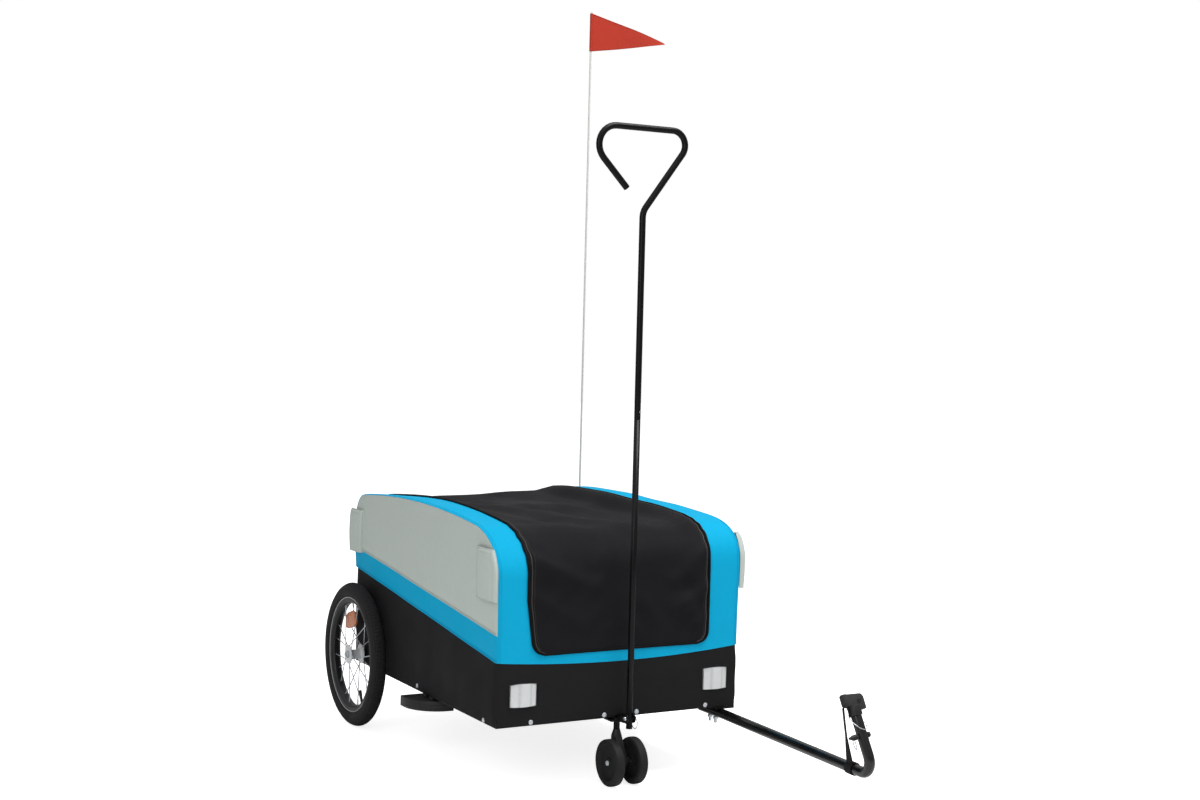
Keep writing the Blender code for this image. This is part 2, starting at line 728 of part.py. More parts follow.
def make_flap(root, name, sign, inner_edge, outer_edge, shape, top, height):
    """Grey sewn pocket at a corner, standing proud of the side panel.

    It runs from its inner edge, a distance y, to its outer edge, a rule that gives y by height.
    """
    outer, inner = [], []
    base = HALF_WIDTH + GAP
    for level, swell in FLAP_SWELL:
        z = top - height * (1 - level)
        reach = outer_edge(z) - inner_edge
        row = [(inner_edge + reach * along, FLAP_PROUD * proud * swell) for along, proud in shape]
        outer.append([(sign * (base + FLAP_SKIN + stand), y, z) for y, stand in row])
        inner.append([(sign * (base + stand), y, z) for y, stand in row])
    add(name, sheet(outer, inner), "grey_polyester", root)


def front_outline_y(z):
    """How far back the tub's rounded front corner stands at a height."""
    fall = (CROWN_Z - CROWN_FALL * CROWN_Y ** 2 - z) / FRONT_CORNER_DROP
    above = 1 - max(0.0, min(1.0, fall))
    return FRONT_CORNER_LENGTH * (1 - math.sqrt(1 - above ** 2))


def rear_flap_top():
    """Upper edge of the rear pockets, which follows the tub's outline above them."""
    return top_z(BODY_LENGTH - REAR_FLAP_START / 2) - REAR_FLAP_DROP


def make_flaps(root):
    """A pocket at each corner of both sides."""
    for side, sign in SIDES:
        make_flap(root, f"rear_{side}_flap", sign, REAR_FLAP_Y, lambda z: REAR_FLAP_Y + REAR_FLAP_LENGTH,
                  REAR_FLAP_SHAPE, rear_flap_top(), REAR_FLAP_HEIGHT)
        make_flap(root, f"front_{side}_flap", sign, FRONT_FLAP_END,
                  lambda z: FRONT_FLAP_EDGE + front_outline_y(z), FRONT_FLAP_SHAPE,
                  FRONT_FLAP_TOP_Z, FRONT_FLAP_HEIGHT)


def make_lamps(root):
    """Bulged rectangular reflectors, clear in front and red behind."""
    levels = ((0.0, 0.0), (0.55, 0.0), (0.85, 0.33), (1.0, 1.0))
    ends = (("front", -GAP, -1, "clear_reflector"), ("rear", BODY_LENGTH + GAP, 1, "red_reflector"))
    height = TRAY_BOTTOM + LAMP_RISE
    for end, y, out, finish in ends:
        for side, sign in SIDES:
            middle = sign * (HALF_WIDTH - LAMP_INSET)
            rings = []
            for stand, shrink in levels:
                edge = shrink * LAMP_DOME
                outline = rounded_box(LAMP_WIDTH / 2 - edge, LAMP_HEIGHT / 2 - edge, LAMP_CORNER)
                rings.append([(middle + u, y + out * LAMP_PROUD * stand, height + v) for u, v in outline])
            add(f"{end}_{side}_reflector", loft(rings), finish, root)


def tyre_profile():
    """Bead, bulging sidewall and round tread."""
    bead = RIM_RADIUS + GAP
    wall = TYRE_RADIUS - bead
    right = [(bead, RIM_WIDTH / 2)]
    right += [(bead + height * wall, width * TYRE_WIDTH / 2) for height, width in TYRE_SHAPE]
    return right + [(radius, -width) for radius, width in right[::-1]]


def rim_profile():
    """Double-walled rim: side walls, spoke bed and the well that the tyre sits over."""
    half = RIM_WIDTH / 2
    shoulder = RIM_RADIUS - RIM_FLANGE
    floor = RIM_RADIUS - RIM_WELL
    bed = half * 0.55
    well = half - RIM_WALL
    right = [(floor, well), (RIM_RADIUS, half), (shoulder, half), (RIM_BED_RADIUS, bed)]
    return right + [(radius, -width) for radius, width in right[::-1]]


def spoke_ends():
    """A spoke's two ends across the wheel, and its distances from the wheel's middle plane there."""
    rim = RIM_BED_RADIUS * math.cos(math.pi / WHEEL_STEPS) - GAP - SPOKE_RADIUS / 4
    start = Vector((SPOKE_CIRCLE, 0.0))
    end = Vector((rim * math.cos(SPOKE_LACING), rim * math.sin(SPOKE_LACING)))
    return start, end, HUB_FLANGE_SPACING / 2, SPOKE_RIM_OFFSET


def spoke_offset(radius):
    """How far from the wheel's middle plane a spoke runs at a radius."""
    start, end, hub_x, rim_x = spoke_ends()
    run = end - start
    a, b, c = run.dot(run), 2 * start.dot(run), start.dot(start) - radius ** 2
    along = (math.sqrt(b * b - 4 * a * c) - b) / (2 * a)
    return hub_x + (rim_x - hub_x) * along


def make_spoke(flange, turn, lead):
    """One spoke from its hole in a flange to the rim, leading or trailing."""
    start, end, hub_x, rim_x = spoke_ends()
    points = []
    for place, x in ((start, hub_x), (end, rim_x)):
        angle = turn + lead * math.atan2(place.y, place.x)
        across = Vector((0, math.sin(angle), math.cos(angle))) * place.length
        points.append(across + Vector((flange * x + lead * SPOKE_STAGGER, 0, 0)))
    return sweep(points, SPOKE_RADIUS, 5)


def make_hub(wheel, side, sign):
    """Flanged hub with the laced spokes fused to it."""
    near = HUB_FLANGE_SPACING / 2 - HUB_FLANGE_THICKNESS / 2
    far = near + HUB_FLANGE_THICKNESS
    bore, barrel, flange = AXLE_PIN_RADIUS + RUN, HUB_BARREL_RADIUS, HUB_FLANGE_RADIUS
    inner, outer = -far - HUB_INNER_NOSE, far + HUB_OUTER_NOSE
    cap, waist = HUB_FACE_RADIUS, near - 2 * CHAMFER
    profile = [(bore, inner), (barrel - CHAMFER, inner), (barrel, inner + CHAMFER), (barrel, -far - CHAMFER)]
    profile += [(flange, -far), (flange, -near), (barrel, -waist), (barrel, waist)]
    profile += [(flange, near), (flange, far), (cap, far), (cap, outer), (bore, outer)]
    shape = lathe([(radius, sign * x) for radius, x in profile], 24, "X")
    hub = add(f"{side}_hub_and_spokes", shape, "zinc", wheel)
    spokes = []
    on_flange = SPOKES // 2
    for face, start in ((1, 0.25), (-1, 0.75)):
        for k in range(on_flange):
            turn = 2 * math.pi * (k + start) / on_flange
            spokes.append(make_spoke(face, turn, 1 if k % 2 == 0 else -1))
    fuse(hub, merge(spokes), "spokes")


def make_spoke_reflector(wheel, side):
    """Oval reflector clipped between the two fans of spokes, thinner where they close up."""
    cos, sin = math.cos(REFLECTOR_ANGLE), math.sin(REFLECTOR_ANGLE)
    straight = REFLECTOR_LENGTH / 2 - REFLECTOR_CORNER
    near, far = [], []
    for k in range(9):
        v = REFLECTOR_LENGTH * (k / 8 - 0.5)
        past = max(0.0, abs(v) - straight)
        half_row = REFLECTOR_WIDTH / 2 - REFLECTOR_CORNER + math.sqrt(REFLECTOR_CORNER ** 2 - past ** 2)
        rows = ([], [])
        for u in (-half_row, -half_row / 2, 0.0, half_row / 2, half_row):
            up = REFLECTOR_RADIUS + v
            room = spoke_offset(math.hypot(u, up)) - SPOKE_STAGGER - SPOKE_RADIUS - GAP
            half = min(REFLECTOR_THICKNESS / 2, room)
            for row, face in zip(rows, (-half, half)):
                row.append((face, u * cos + up * sin, up * cos - u * sin))
        near.append(rows[0])
        far.append(rows[1])
    add(f"{side}_spoke_reflector", sheet(near, far), "amber_reflector", wheel)


def make_wheel(root, side, sign):
    """Tyre, rim, laced hub and spoke reflector of one wheel."""
    wheel = empty(f"{side}_wheel_spin", (sign * WHEEL_X, AXLE_Y, AXLE_Z), root)
    add(f"{side}_tyre", lathe(tyre_profile(), WHEEL_STEPS, "X"), "rubber", wheel)
    add(f"{side}_rim", lathe(rim_profile(), WHEEL_STEPS, "X"), "rim", wheel)
    make_hub(wheel, side, sign)
    make_spoke_reflector(wheel, side)


def make_axle(root, side, sign):
    """Push-button axle through the hub into the axle tube, with the button in its head."""
    head = WHEEL_X + (HUB_FLANGE_SPACING + HUB_FLANGE_THICKNESS) / 2 + HUB_OUTER_NOSE + RUN
    face = head + AXLE_HEAD_LENGTH
    inner = FRAME_HALF - AXLE_PIN_REACH
    recess = BUTTON_RADIUS + GAP
    floor = face - BUTTON_TRAVEL - 2 * BUTTON_REST
    pin, rim = AXLE_PIN_RADIUS, AXLE_HEAD_RADIUS
    profile = [(0, inner), (pin - CHAMFER, inner), (pin, inner + AXLE_PIN_NOSE), (pin, head), (rim, head),
               (rim, face - CHAMFER), (rim - CHAMFER, face), (recess, face), (recess, floor), (0, floor)]
    shape = lathe([(radius, sign * x) for radius, x in profile], 20, "X", (0, AXLE_Y, AXLE_Z))
    add(f"{side}_axle", shape, "zinc", root)
    slide = empty(f"{side}_button_slide", (sign * face, AXLE_Y, AXLE_Z), root)
    low, high, radius = -BUTTON_REST, BUTTON_PROUD, BUTTON_RADIUS
    outline = [(0, low), (radius, low), (radius, high - CHAMFER), (radius - CHAMFER, high), (0, high)]
    button = lathe([(radius, sign * x) for radius, x in outline], 16, "X")
    add(f"{side}_release_button", button, "zinc", slide)


def make_guard(root, side, sign):
    """Moulded bumper ahead of a wheel: flat top, round outer front corner, open underneath."""
    top = TRAY_BOTTOM - GUARD_DROP
    outer_x = HALF_WIDTH + GUARD_REACH
    inner_x = outer_x - GUARD_INNER
    rear_y = GUARD_FRONT_Y + GUARD_DEPTH

    def outline(wall):
        middle = (outer_x - GUARD_RADIUS, GUARD_FRONT_Y + GUARD_RADIUS)
        points = [(inner_x + wall, rear_y - wall), (inner_x + wall, GUARD_FRONT_Y + wall)]
        points += arc(middle, GUARD_RADIUS - wall, -math.pi / 2, 0, 10)
        points.append((outer_x - wall, rear_y - wall))
        return [(sign * x, y) for x, y in points]

    guard = add(f"{side}_wheel_guard", prism(outline(0.0), top - GUARD_HEIGHT, top), "black_plastic", root)
    hollow = prism(outline(GUARD_WALL), top - 2 * GUARD_HEIGHT, top - GUARD_WALL)
    cut(guard, hollow, "hollow")
    boss_x = sign * (FRAME_HALF - RAIL / 2)
    for number, y in enumerate((CROSS_MEMBER_Y, CROSS_MEMBER_Y + 2 * RAIL)):
        boss = rod(GUARD_BOSS_RADIUS, top - GUARD_WALL / 2, TRAY_BOTTOM - GAP, 12, "Z", (boss_x, y, 0))
        fuse(guard, boss, f"boss_{number}")


def caster_wheel_profile():
    """Dished wheel with its hub recessed on the outer side and flush on the inner side."""
    half = CASTER_WIDTH / 2
    hole, hub, dish = CASTER_BOLT_RADIUS + RUN, CASTER_HUB_RADIUS, half - CASTER_DISH
    tread = [(CASTER_DISH_RADIUS, dish), (CASTER_CROWN_RADIUS, half),
             (CASTER_RADIUS - CASTER_SHOULDER, half - CASTER_SHOULDER_DROP),
             (CASTER_RADIUS, half - CASTER_TREAD_DROP)]
    outer = [(hole, half - CASTER_HUB_RECESS), (hub, half - CASTER_HUB_RECESS)] + tread
    inner = [(hole, half), (hub - CASTER_DISH / 2, half), (hub + CASTER_DISH / 2, dish)] + tread
    return outer + [(radius, -x) for radius, x in inner[::-1]]


def make_caster_bracket(root, top):
    """Plate with a round post that the caster's stem turns in. Returns the post's lower end."""
    centre = (0, CASTER_STEM_Y, 0)
    low = top - CASTER_POST_LENGTH
    outline = rounded_box(CASTER_PLATE_WIDTH / 2, CASTER_PLATE_LENGTH / 2, CASTER_PLATE, 2, centre)
    bracket = add("caster_bracket", prism(outline, top - CASTER_PLATE, top), "black_steel", root)
    fuse(bracket, rod(CASTER_POST_RADIUS, low, top - CASTER_PLATE / 2, 16, "Z", centre), "post")
    bore = rod(CASTER_STEM_RADIUS + RUN, low - CASTER_PLATE, top - CASTER_PLATE / 3, 12, "Z", centre)
    cut(bracket, bore, "bore")
    return low


def make_caster(root):
    """Bracket under the front rail, swivel fork, axle bolt, and two wheels side by side."""
    plate_top = TRAY_BOTTOM - GAP - BRACKET_PLATE - GAP
    neck = make_caster_bracket(root, plate_top) - RUN
    swivel = empty("caster_swivel", (0, CASTER_STEM_Y, 0), root)
    stem_top = plate_top - CASTER_PLATE / 3 - RUN
    cone_low = neck - CASTER_CONE_HEIGHT
    foot = cone_low - CASTER_LEG_TOP
    stem, cone = CASTER_STEM_RADIUS, CASTER_CONE_RADIUS
    profile = [(0, stem_top), (stem, stem_top), (stem, neck), (CASTER_POST_RADIUS, neck), (cone, cone_low),
               (cone, foot), (0, foot)]
    fork = add("caster_fork", lathe(profile, 16), "black_plastic", swivel)
    axle = (-CASTER_TRAIL, CASTER_RADIUS)
    lean = math.atan2(cone_low - axle[1], -axle[0])
    quarter = math.pi / 2
    leg = arc((0.0, cone_low), CASTER_LEG_TOP, lean - quarter, lean + quarter, 8)
    leg += arc(axle, CASTER_LEG_FOOT, lean + quarter, lean + 3 * quarter, 8)
    fuse(fork, prism(leg, -CASTER_LEG_WIDTH / 2, CASTER_LEG_WIDTH / 2, "X"), "leg")
    spacer = (CASTER_SPACING - CASTER_WIDTH) / 2 - RUN
    fuse(fork, rod(CASTER_SPACER_RADIUS, -spacer, spacer, 14, "X", (0, *axle)), "spacers")
    bore = rod(CASTER_BOLT_RADIUS + GAP, -CASTER_SPACING, CASTER_SPACING, 12, "X", (0, *axle))
    cut(fork, bore, "axle_bore")

    end = (CASTER_SPACING + CASTER_WIDTH) / 2 - CASTER_HUB_RECESS + RUN
    head = CASTER_BOLT_HEAD
    bolt = [(0, -end - head / 2), (head / 2, -end - head / 2), (head, -end), (CASTER_BOLT_RADIUS, -end)]
    bolt += [(radius, -x) for radius, x in bolt[::-1]]
    add("caster_axle", lathe(bolt, 12, "X", (0, *axle)), "zinc", swivel)
    for side, sign in SIDES:
        spin = empty(f"caster_{side}_spin", (sign * CASTER_SPACING / 2, *axle), swivel)
        profile = [(radius, sign * x) for radius, x in caster_wheel_profile()]
        add(f"caster_wheel_{side}", lathe(profile, 28, "X"), "rubber", spin)


def make_handle_bracket(root):
    """Plate under the front rail with two ears that carry the handle's pin, and the pin."""
    ear_in = HANDLE_RADIUS + RUN
    ear_out = ear_in + EAR_THICKNESS
    top = TRAY_BOTTOM - GAP
    low = top - BRACKET_PLATE
    width = ear_out + BRACKET_MARGIN
    pivot = (0, HANDLE_Y, HANDLE_PIVOT_Z)
    plate = block((-width, -BRACKET_MARGIN, low), (width, BRACKET_BACK, top))
    bracket = add("handle_bracket", plate, "black_steel", root)
    ear = [(-SKIN, low + CHAMFER), (-SKIN, top + EAR_RISE)]
    ear += arc(pivot[1:], EAR_RADIUS, math.radians(60), math.radians(280), 10)
    ear += [(-2 * BRACKET_MARGIN, low - EAR_DROP), (-BRACKET_MARGIN - CHAMFER, low + CHAMFER)]
    for number, sign in enumerate((1, -1)):
        low_x, high_x = sorted((sign * ear_in, sign * ear_out))
        fuse(bracket, prism(ear, low_x, high_x, "X"), f"ear_{number}")
    cut(bracket, rod(HANDLE_PIN_RADIUS + GAP, -2 * width, 2 * width, 12, "X", pivot), "pin_holes")

    end = ear_out + RUN
    pin, head = HANDLE_PIN_RADIUS, HANDLE_PIN_HEAD
    profile = [(0, -end - pin), (head - CHAMFER, -end - pin), (head, -end), (pin, -end),
               (pin, end + HANDLE_PIN_END), (0, end + HANDLE_PIN_END)]
    ring_pin = add("handle_ring_pin", lathe(profile, 12, "X", pivot), "zinc", root)
    middle = Vector(pivot) + Vector((end + HANDLE_PIN_END / 2, 0, RING_WIRE - RING_RADIUS))
    rings = []
    for k in range(20):
        angle = 2 * math.pi * k / 20
        out = Vector((0, math.sin(angle), math.cos(angle)))
        turns = [2 * math.pi * m / 6 for m in range(6)]
        wire = [out * math.cos(t) + Vector((math.sin(t), 0, 0)) for t in turns]
        rings.append([middle + out * RING_RADIUS + point * RING_WIRE for point in wire])
    fuse(ring_pin, loft(rings, closed=True), "ring")


def make_handle(root):
    """Lower tube on its pin, upper tube with the open loop, and the snap button that joins them."""
    make_handle_bracket(root)
    fold = empty("handle_fold", (0, HANDLE_Y, HANDLE_PIVOT_Z), root)
    split = HANDLE_SPLIT_Z - HANDLE_PIVOT_Z
    end = split + HANDLE_SPIGOT
    spigot = HANDLE_BORE - GAP
    outline = [(0, -HANDLE_TAIL), (HANDLE_RADIUS, -HANDLE_TAIL), (HANDLE_RADIUS, split), (spigot, split),
               (spigot, end - CHAMFER), (spigot - CHAMFER, end), (0, end)]
    lower_tube = add("handle_lower_tube", lathe(outline, 16), "black_steel", fold)
    pin_hole = rod(HANDLE_PIN_RADIUS + GAP, -2 * HANDLE_RADIUS, 2 * HANDLE_RADIUS, 12, "X")
    cut(lower_tube, pin_hole, "pin_hole")

    lift = empty("handle_top_slide", (0, 0, 0), fold)
    corners = [(0, HANDLE_SPLIT_Z + RUN), (0, HANDLE_BEND_Z), (HANDLE_LEFT_CORNER_X, HANDLE_TOP_Z),
               (HANDLE_RIGHT_CORNER_X, HANDLE_TOP_Z), (HANDLE_TIP_X, HANDLE_TIP_Z)]
    corners = [Vector((x, 0, z - HANDLE_PIVOT_Z)) for x, z in corners]
    path = round_corners(corners, (HANDLE_BEND_RADIUS, HANDLE_LEFT_RADIUS, HANDLE_RIGHT_RADIUS), 7)
    upper_tube = add("handle_upper_tube", sweep(path, HANDLE_RADIUS), "black_steel", lift)
    cut(upper_tube, rod(HANDLE_BORE, split - HANDLE_BORE, end + SKIN, 16), "bore")

    level = split + SNAP_BUTTON_RISE
    outward = Vector((math.sin(SNAP_BUTTON_FACING), -math.cos(SNAP_BUTTON_FACING), 0))
    turn = outward.to_track_quat("Z", "Y")
    seat = Matrix.Translation((0, 0, level)) @ turn.to_matrix().to_4x4()
    slide = empty("snap_button_slide", (0, 0, level), lift)
    slide.rotation_euler = turn.to_euler()
    radius = SNAP_BUTTON_RADIUS
    low, high = HANDLE_BORE + GAP, HANDLE_RADIUS + SNAP_BUTTON_PROUD
    pocket = low - SNAP_BUTTON_TRAVEL - RUN
    for tube in (upper_tube, lower_tube):
        hole = rod(radius + GAP, pocket, 2 * HANDLE_RADIUS, 12)
        hole.transform(seat)
        cut(tube, hole, "button_hole")
    button = [(0, low), (radius, low), (radius, high - CHAMFER), (radius / 2, high), (0, high)]
    add("handle_snap_button", lathe(button, 12), "zinc", slide)


def drawbar_bolt(low, nut, high):
    """A bolt with its nut, from its lower end up to its top."""
    radius = BOLT_RADIUS
    return [(0, low), (radius - CHAMFER, low), (radius, low + CHAMFER), (radius, nut - NUT_HEIGHT),
            (NUT_RADIUS, nut - NUT_HEIGHT), (NUT_RADIUS, nut), (radius, nut), (radius, high), (0, high)]


def make_drawbar_bracket(root, plate_low, plate_top):
    """Hinge plate with the pivot's hole and a quarter-round slot for the lock bolt."""
    low = (DRAWBAR_X - DRAWBAR_PLATE_INNER, FRAME_INSET, plate_low)
    high = (FRAME_HALF, DRAWBAR_PIVOT_Y + DRAWBAR_PLATE_BACK, plate_top)
    bracket = add("drawbar_bracket", block(low, high), "black_steel", root)
    centre = (DRAWBAR_X, DRAWBAR_PIVOT_Y)
    half, quarter = BOLT_RADIUS + RUN, math.pi / 2
    slot = arc(centre, BOLT_SPACING + half, -quarter, 0, 8)
    slot += arc((centre[0] + BOLT_SPACING, centre[1]), half, 0, 2 * quarter, 6)[1:-1]
    slot += arc(centre, BOLT_SPACING - half, 0, -quarter, 8)
    slot += arc((centre[0], centre[1] - BOLT_SPACING), half, quarter, 3 * quarter, 6)[1:-1]
    cut(bracket, prism(slot, plate_low - RAIL, plate_top + RAIL), "arc_slot")
    hole = rod(BOLT_RADIUS + GAP, plate_low - RAIL, plate_top - SKIN, 12, "Z", (*centre, 0))
    cut(bracket, hole, "pivot_hole")


def make_drawbar(root):
    """Hinge plate under the front left corner, the bent arm on its two bolts, and the hitch."""
    plate_top = TRAY_BOTTOM - GAP
    plate_low = plate_top - DRAWBAR_PLATE
    make_drawbar_bracket(root, plate_low, plate_top)
    level = plate_low - GAP - DRAWBAR_RADIUS
    swing = empty("drawbar_swing", (DRAWBAR_X, DRAWBAR_PIVOT_Y, level), root)
    ease = Vector((0, -DRAWBAR_LEVEL, 0))
    bend = Vector((0, -DRAWBAR_REACH, -DRAWBAR_FALL))
    top = bend + Vector((ARM_LEAN, ARM_BACK, ARM_RISE))
    corners = [Vector((0, DRAWBAR_TAIL, 0)), ease, bend, top]
    path = round_corners(corners, (DRAWBAR_EASE_RADIUS, DRAWBAR_BEND_RADIUS), 5)
    bar = add("drawbar_tube", sweep(path, DRAWBAR_RADIUS, 14), "black_steel", swing)
    for number, y in enumerate((0, -BOLT_SPACING)):
        hole = rod(BOLT_RADIUS + GAP, -2 * DRAWBAR_RADIUS, 2 * DRAWBAR_RADIUS, 12, "Z", (0, y, 0))
        cut(bar, hole, f"bolt_hole_{number}")
    under = level - DRAWBAR_RADIUS
    pivot_bolt = drawbar_bolt(under - BOLT_HANG, under - RUN, plate_top - SKIN - RUN)
    add("drawbar_pivot_bolt", lathe(pivot_bolt, 12, "Z", (DRAWBAR_X, DRAWBAR_PIVOT_Y, 0)), "zinc", root)
    lock = drawbar_bolt(-DRAWBAR_RADIUS - BOLT_HANG, -DRAWBAR_RADIUS - RUN, plate_top - CHAMFER - level)
    add("drawbar_lock_bolt", lathe(lock, 12, "Z", (0, -BOLT_SPACING, 0)), "zinc", swing)
    make_strap(swing, ease, bend, *make_hitch(swing, bar, bend, top))


def make_hitch(swing, bar, bend, top):
    """Coupler that turns in the arm's end, its pin and its cap.

    Returns where the strap meets the cap's underside and the direction that it faces.
    """
    along = (top - bend).normalized()
    right = Vector((1, 0, 0))
    right = (right - along * right.dot(along)).normalized()
    turn = Matrix((right, along.cross(right), along)).transposed().to_4x4()
    seat = Matrix.Translation(top) @ turn

    def placed(shape):
        shape.transform(seat)
        return shape

    pin = HITCH_PIN_RADIUS
    cut(bar, placed(rod(HITCH_BORE, -HITCH_STEM_LENGTH - CHAMFER, HITCH_BORE, 14)), "socket")
    cross = rod(pin + GAP, -2 * DRAWBAR_RADIUS, 2 * DRAWBAR_RADIUS, 12, "X", (0, 0, -HITCH_PIN_DOWN))
    cut(bar, placed(cross), "pin_hole")
    end = DRAWBAR_RADIUS + RUN
    tip, nose = end + HITCH_PIN_KNOB_LENGTH, end + HITCH_PIN_NOSE
    profile = [(0, -nose), (pin / 2, -nose), (pin, -end - HITCH_PIN_NOSE / 2), (pin, end)]
    profile += [(HITCH_PIN_KNOB, end), (HITCH_PIN_KNOB, tip), (pin, tip + CHAMFER), (0, tip + CHAMFER)]
    slide = empty("hitch_pin_slide", (0, 0, 0), swing)
    add("hitch_pin", placed(lathe(profile, 12, "X", (0, 0, -HITCH_PIN_DOWN))), "black_plastic", slide)

    swivel = empty("hitch_swivel", (0, 0, 0), swing)
    stem, block_radius = HITCH_BORE - RUN, COUPLER_RADIUS
    body = [(0, -HITCH_STEM_LENGTH), (stem, -HITCH_STEM_LENGTH), (stem, RUN), (block_radius - CHAMFER, RUN),
            (block_radius, RUN + CHAMFER), (block_radius, COUPLER_HEIGHT - CHAMFER),
            (block_radius - CHAMFER, COUPLER_HEIGHT), (0, COUPLER_HEIGHT)]
    coupler = add("hitch_coupler", placed(lathe(body, 16)), "black_plastic", swivel)
    waist = (pin + RUN) / math.cos(HITCH_TURN)
    side = 2 * HITCH_BORE
    mouth = waist + side * math.tan(HITCH_TURN)
    slot = [(0, waist), (-side, mouth), (-side, -mouth), (0, -waist), (side, -mouth), (side, mouth)]
    window = prism(slot, -HITCH_PIN_DOWN - pin - RUN, -HITCH_PIN_DOWN + pin + RUN)
    cut(coupler, placed(window), "pin_window")

    base = COUPLER_HEIGHT + GAP
    rings = []
    for height, grow in ((0.0, 0.94), (0.12, 1.0), (0.85, 1.0), (1.0, 0.90)):
        outline = rounded_box(CAP_WIDTH / 2 * grow, CAP_THICKNESS / 2 * grow, CAP_CORNER * grow)
        rings.append([(CAP_SHIFT + u, v, base + height * CAP_HEIGHT) for u, v in outline])
    add("hitch_strap_cap", placed(loft(rings)), "webbing", swivel)
    return seat @ Vector((STRAP_TOP_X, 0, base - RUN)), along


def make_strap(swing, ease, bend, top, facing):
    """Webbing looped round the bar near its bend, rising with a part turn to the cap's underside."""
    sides = 16
    bore = (DRAWBAR_RADIUS + GAP) / math.cos(math.pi / sides)
    fall = (bend - ease).normalized()
    centre = bend - fall * STRAP_FROM_BEND
    tilt = Vector((0, -1, 0)).rotation_difference(fall).to_matrix().to_4x4()
    loop = pipe(bore + STRAP_THICKNESS, bore, -STRAP_WIDTH / 2, STRAP_WIDTH / 2, sides, "Y")
    loop.transform(Matrix.Translation(centre) @ tilt)
    strap = add("safety_strap", loop, "webbing", swing)
    foot = centre + Vector((-0.5, 0, math.sqrt(0.75))) * (bore + STRAP_THICKNESS / 2)
    steps = 10
    rings = []
    for k in range(steps + 1):
        t = k / steps
        point = foot.lerp(top, t) - Vector((STRAP_BOW * math.sin(math.pi * t), 0, 0))
        twist = STRAP_TWIST * min(1.0, 2 * t)
        half = STRAP_WIDTH / 2 - RUN
        wide = Vector((math.sin(twist), math.cos(twist), 0)) * half * (1 - STRAP_TAPER * t)
        thin = Vector((math.cos(twist), -math.sin(twist), 0)) * STRAP_THICKNESS / 2
        for edge in (wide, thin):
            edge.z = -t * edge.dot(facing) / facing.z
        rings.append([point + wide + thin, point - wide + thin, point - wide - thin, point + wide - thin])
    fuse(strap, loft(rings), "riser")


def make_flag(root):
    """White rod in its sleeve behind the rear flap, and the red pennant on its hem."""
    centre = (HALF_WIDTH + GAP + SLEEVE_RADIUS, POLE_Y, 0)
    low = rear_flap_top() - REAR_FLAP_HEIGHT - SLEEVE_DROP
    high = low + SLEEVE_LENGTH
    floor = low + SLEEVE_FLOOR
    bore = POLE_RADIUS + GAP
    outline = [(0, low), (SLEEVE_RADIUS, low), (SLEEVE_RADIUS, high)]
    outline += [(bore, high), (bore, floor), (0, floor)]
    add("flag_sleeve", lathe(outline, 14, "Z", centre), "black_plastic", root)
    lift = empty("flag_slide", centre, root)
    add("flag_pole", rod(POLE_RADIUS, floor + GAP, POLE_TOP_Z, 10), "white_rod", lift)
    middle = POLE_TOP_Z - PENNANT_TOP_GAP - PENNANT_HOIST / 2
    columns = 12
    outer, inner = [], []
    for row in (-1.0, 0.0, 1.0):
        for grid, side in ((outer, -0.5), (inner, 0.5)):
            line = []
            for k in range(columns + 1):
                t = k / columns
                half = (PENNANT_TIP + (PENNANT_HOIST - PENNANT_TIP) * (1 - t)) / 2
                wave = PENNANT_WAVE * t * math.sin(t * 6.5 + (row + 1) * 0.4)
                x = bore + PENNANT_THICKNESS / 2 + t * PENNANT_LENGTH
                z = middle + half * row - PENNANT_DROOP * t * t
                line.append((x, wave + side * PENNANT_THICKNESS, z))
            grid.append(line)
    pennant = add("pennant", sheet(outer, inner), "red_nylon", lift)
    half = PENNANT_HOIST / 2
    fuse(pennant, pipe(bore + PENNANT_THICKNESS, bore, middle - half, middle + half, 10), "hem")


def centre_on_footprint(root):
    """Move the trailer so that the origin is the middle of its footprint."""
    bpy.context.view_layer.update()
    graph = bpy.context.evaluated_depsgraph_get()
    xs, ys = [], []
    for piece in bpy.context.scene.objects:
        if piece.type != "MESH" or piece.hide_render:
            continue
        shape = piece.evaluated_get(graph)
        for vertex in shape.data.vertices:
            place = shape.matrix_world @ vertex.co
            xs.append(place.x)
            ys.append(place.y)
    root.location = (-(min(xs) + max(xs)) / 2, -(min(ys) + max(ys)) / 2, 0)


def build_trailer():
    root = empty("trailer", (0, 0, 0), None)
    make_frame(root)
    make_hoops(root)
    make_skirt(root)
    for side, sign in SIDES:
        make_side(root, side, sign)
        make_band(root, side, sign)
        make_wheel(root, side, sign)
        make_axle(root, side, sign)
        make_guard(root, side, sign)
    make_strips(root)
    make_cover(root)
    make_flaps(root)
    make_lamps(root)
    make_caster(root)
    make_handle(root)
    make_drawbar(root)
    make_flag(root)
    centre_on_footprint(root)


for old in list(bpy.data.objects):
    bpy.data.objects.remove(old)
FINISHES = make_materials()
build_trailer()
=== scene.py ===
"""Looks of a bicycle cargo trailer, laid out as an add-on and run as a script.

Each operator models one group of pieces around the loaded frame, in metres, +Z up, with the
trailer's front facing -Y and its own left at +X.
"""
import json
import math

import bpy
from mathutils import Matrix, Vector, noise

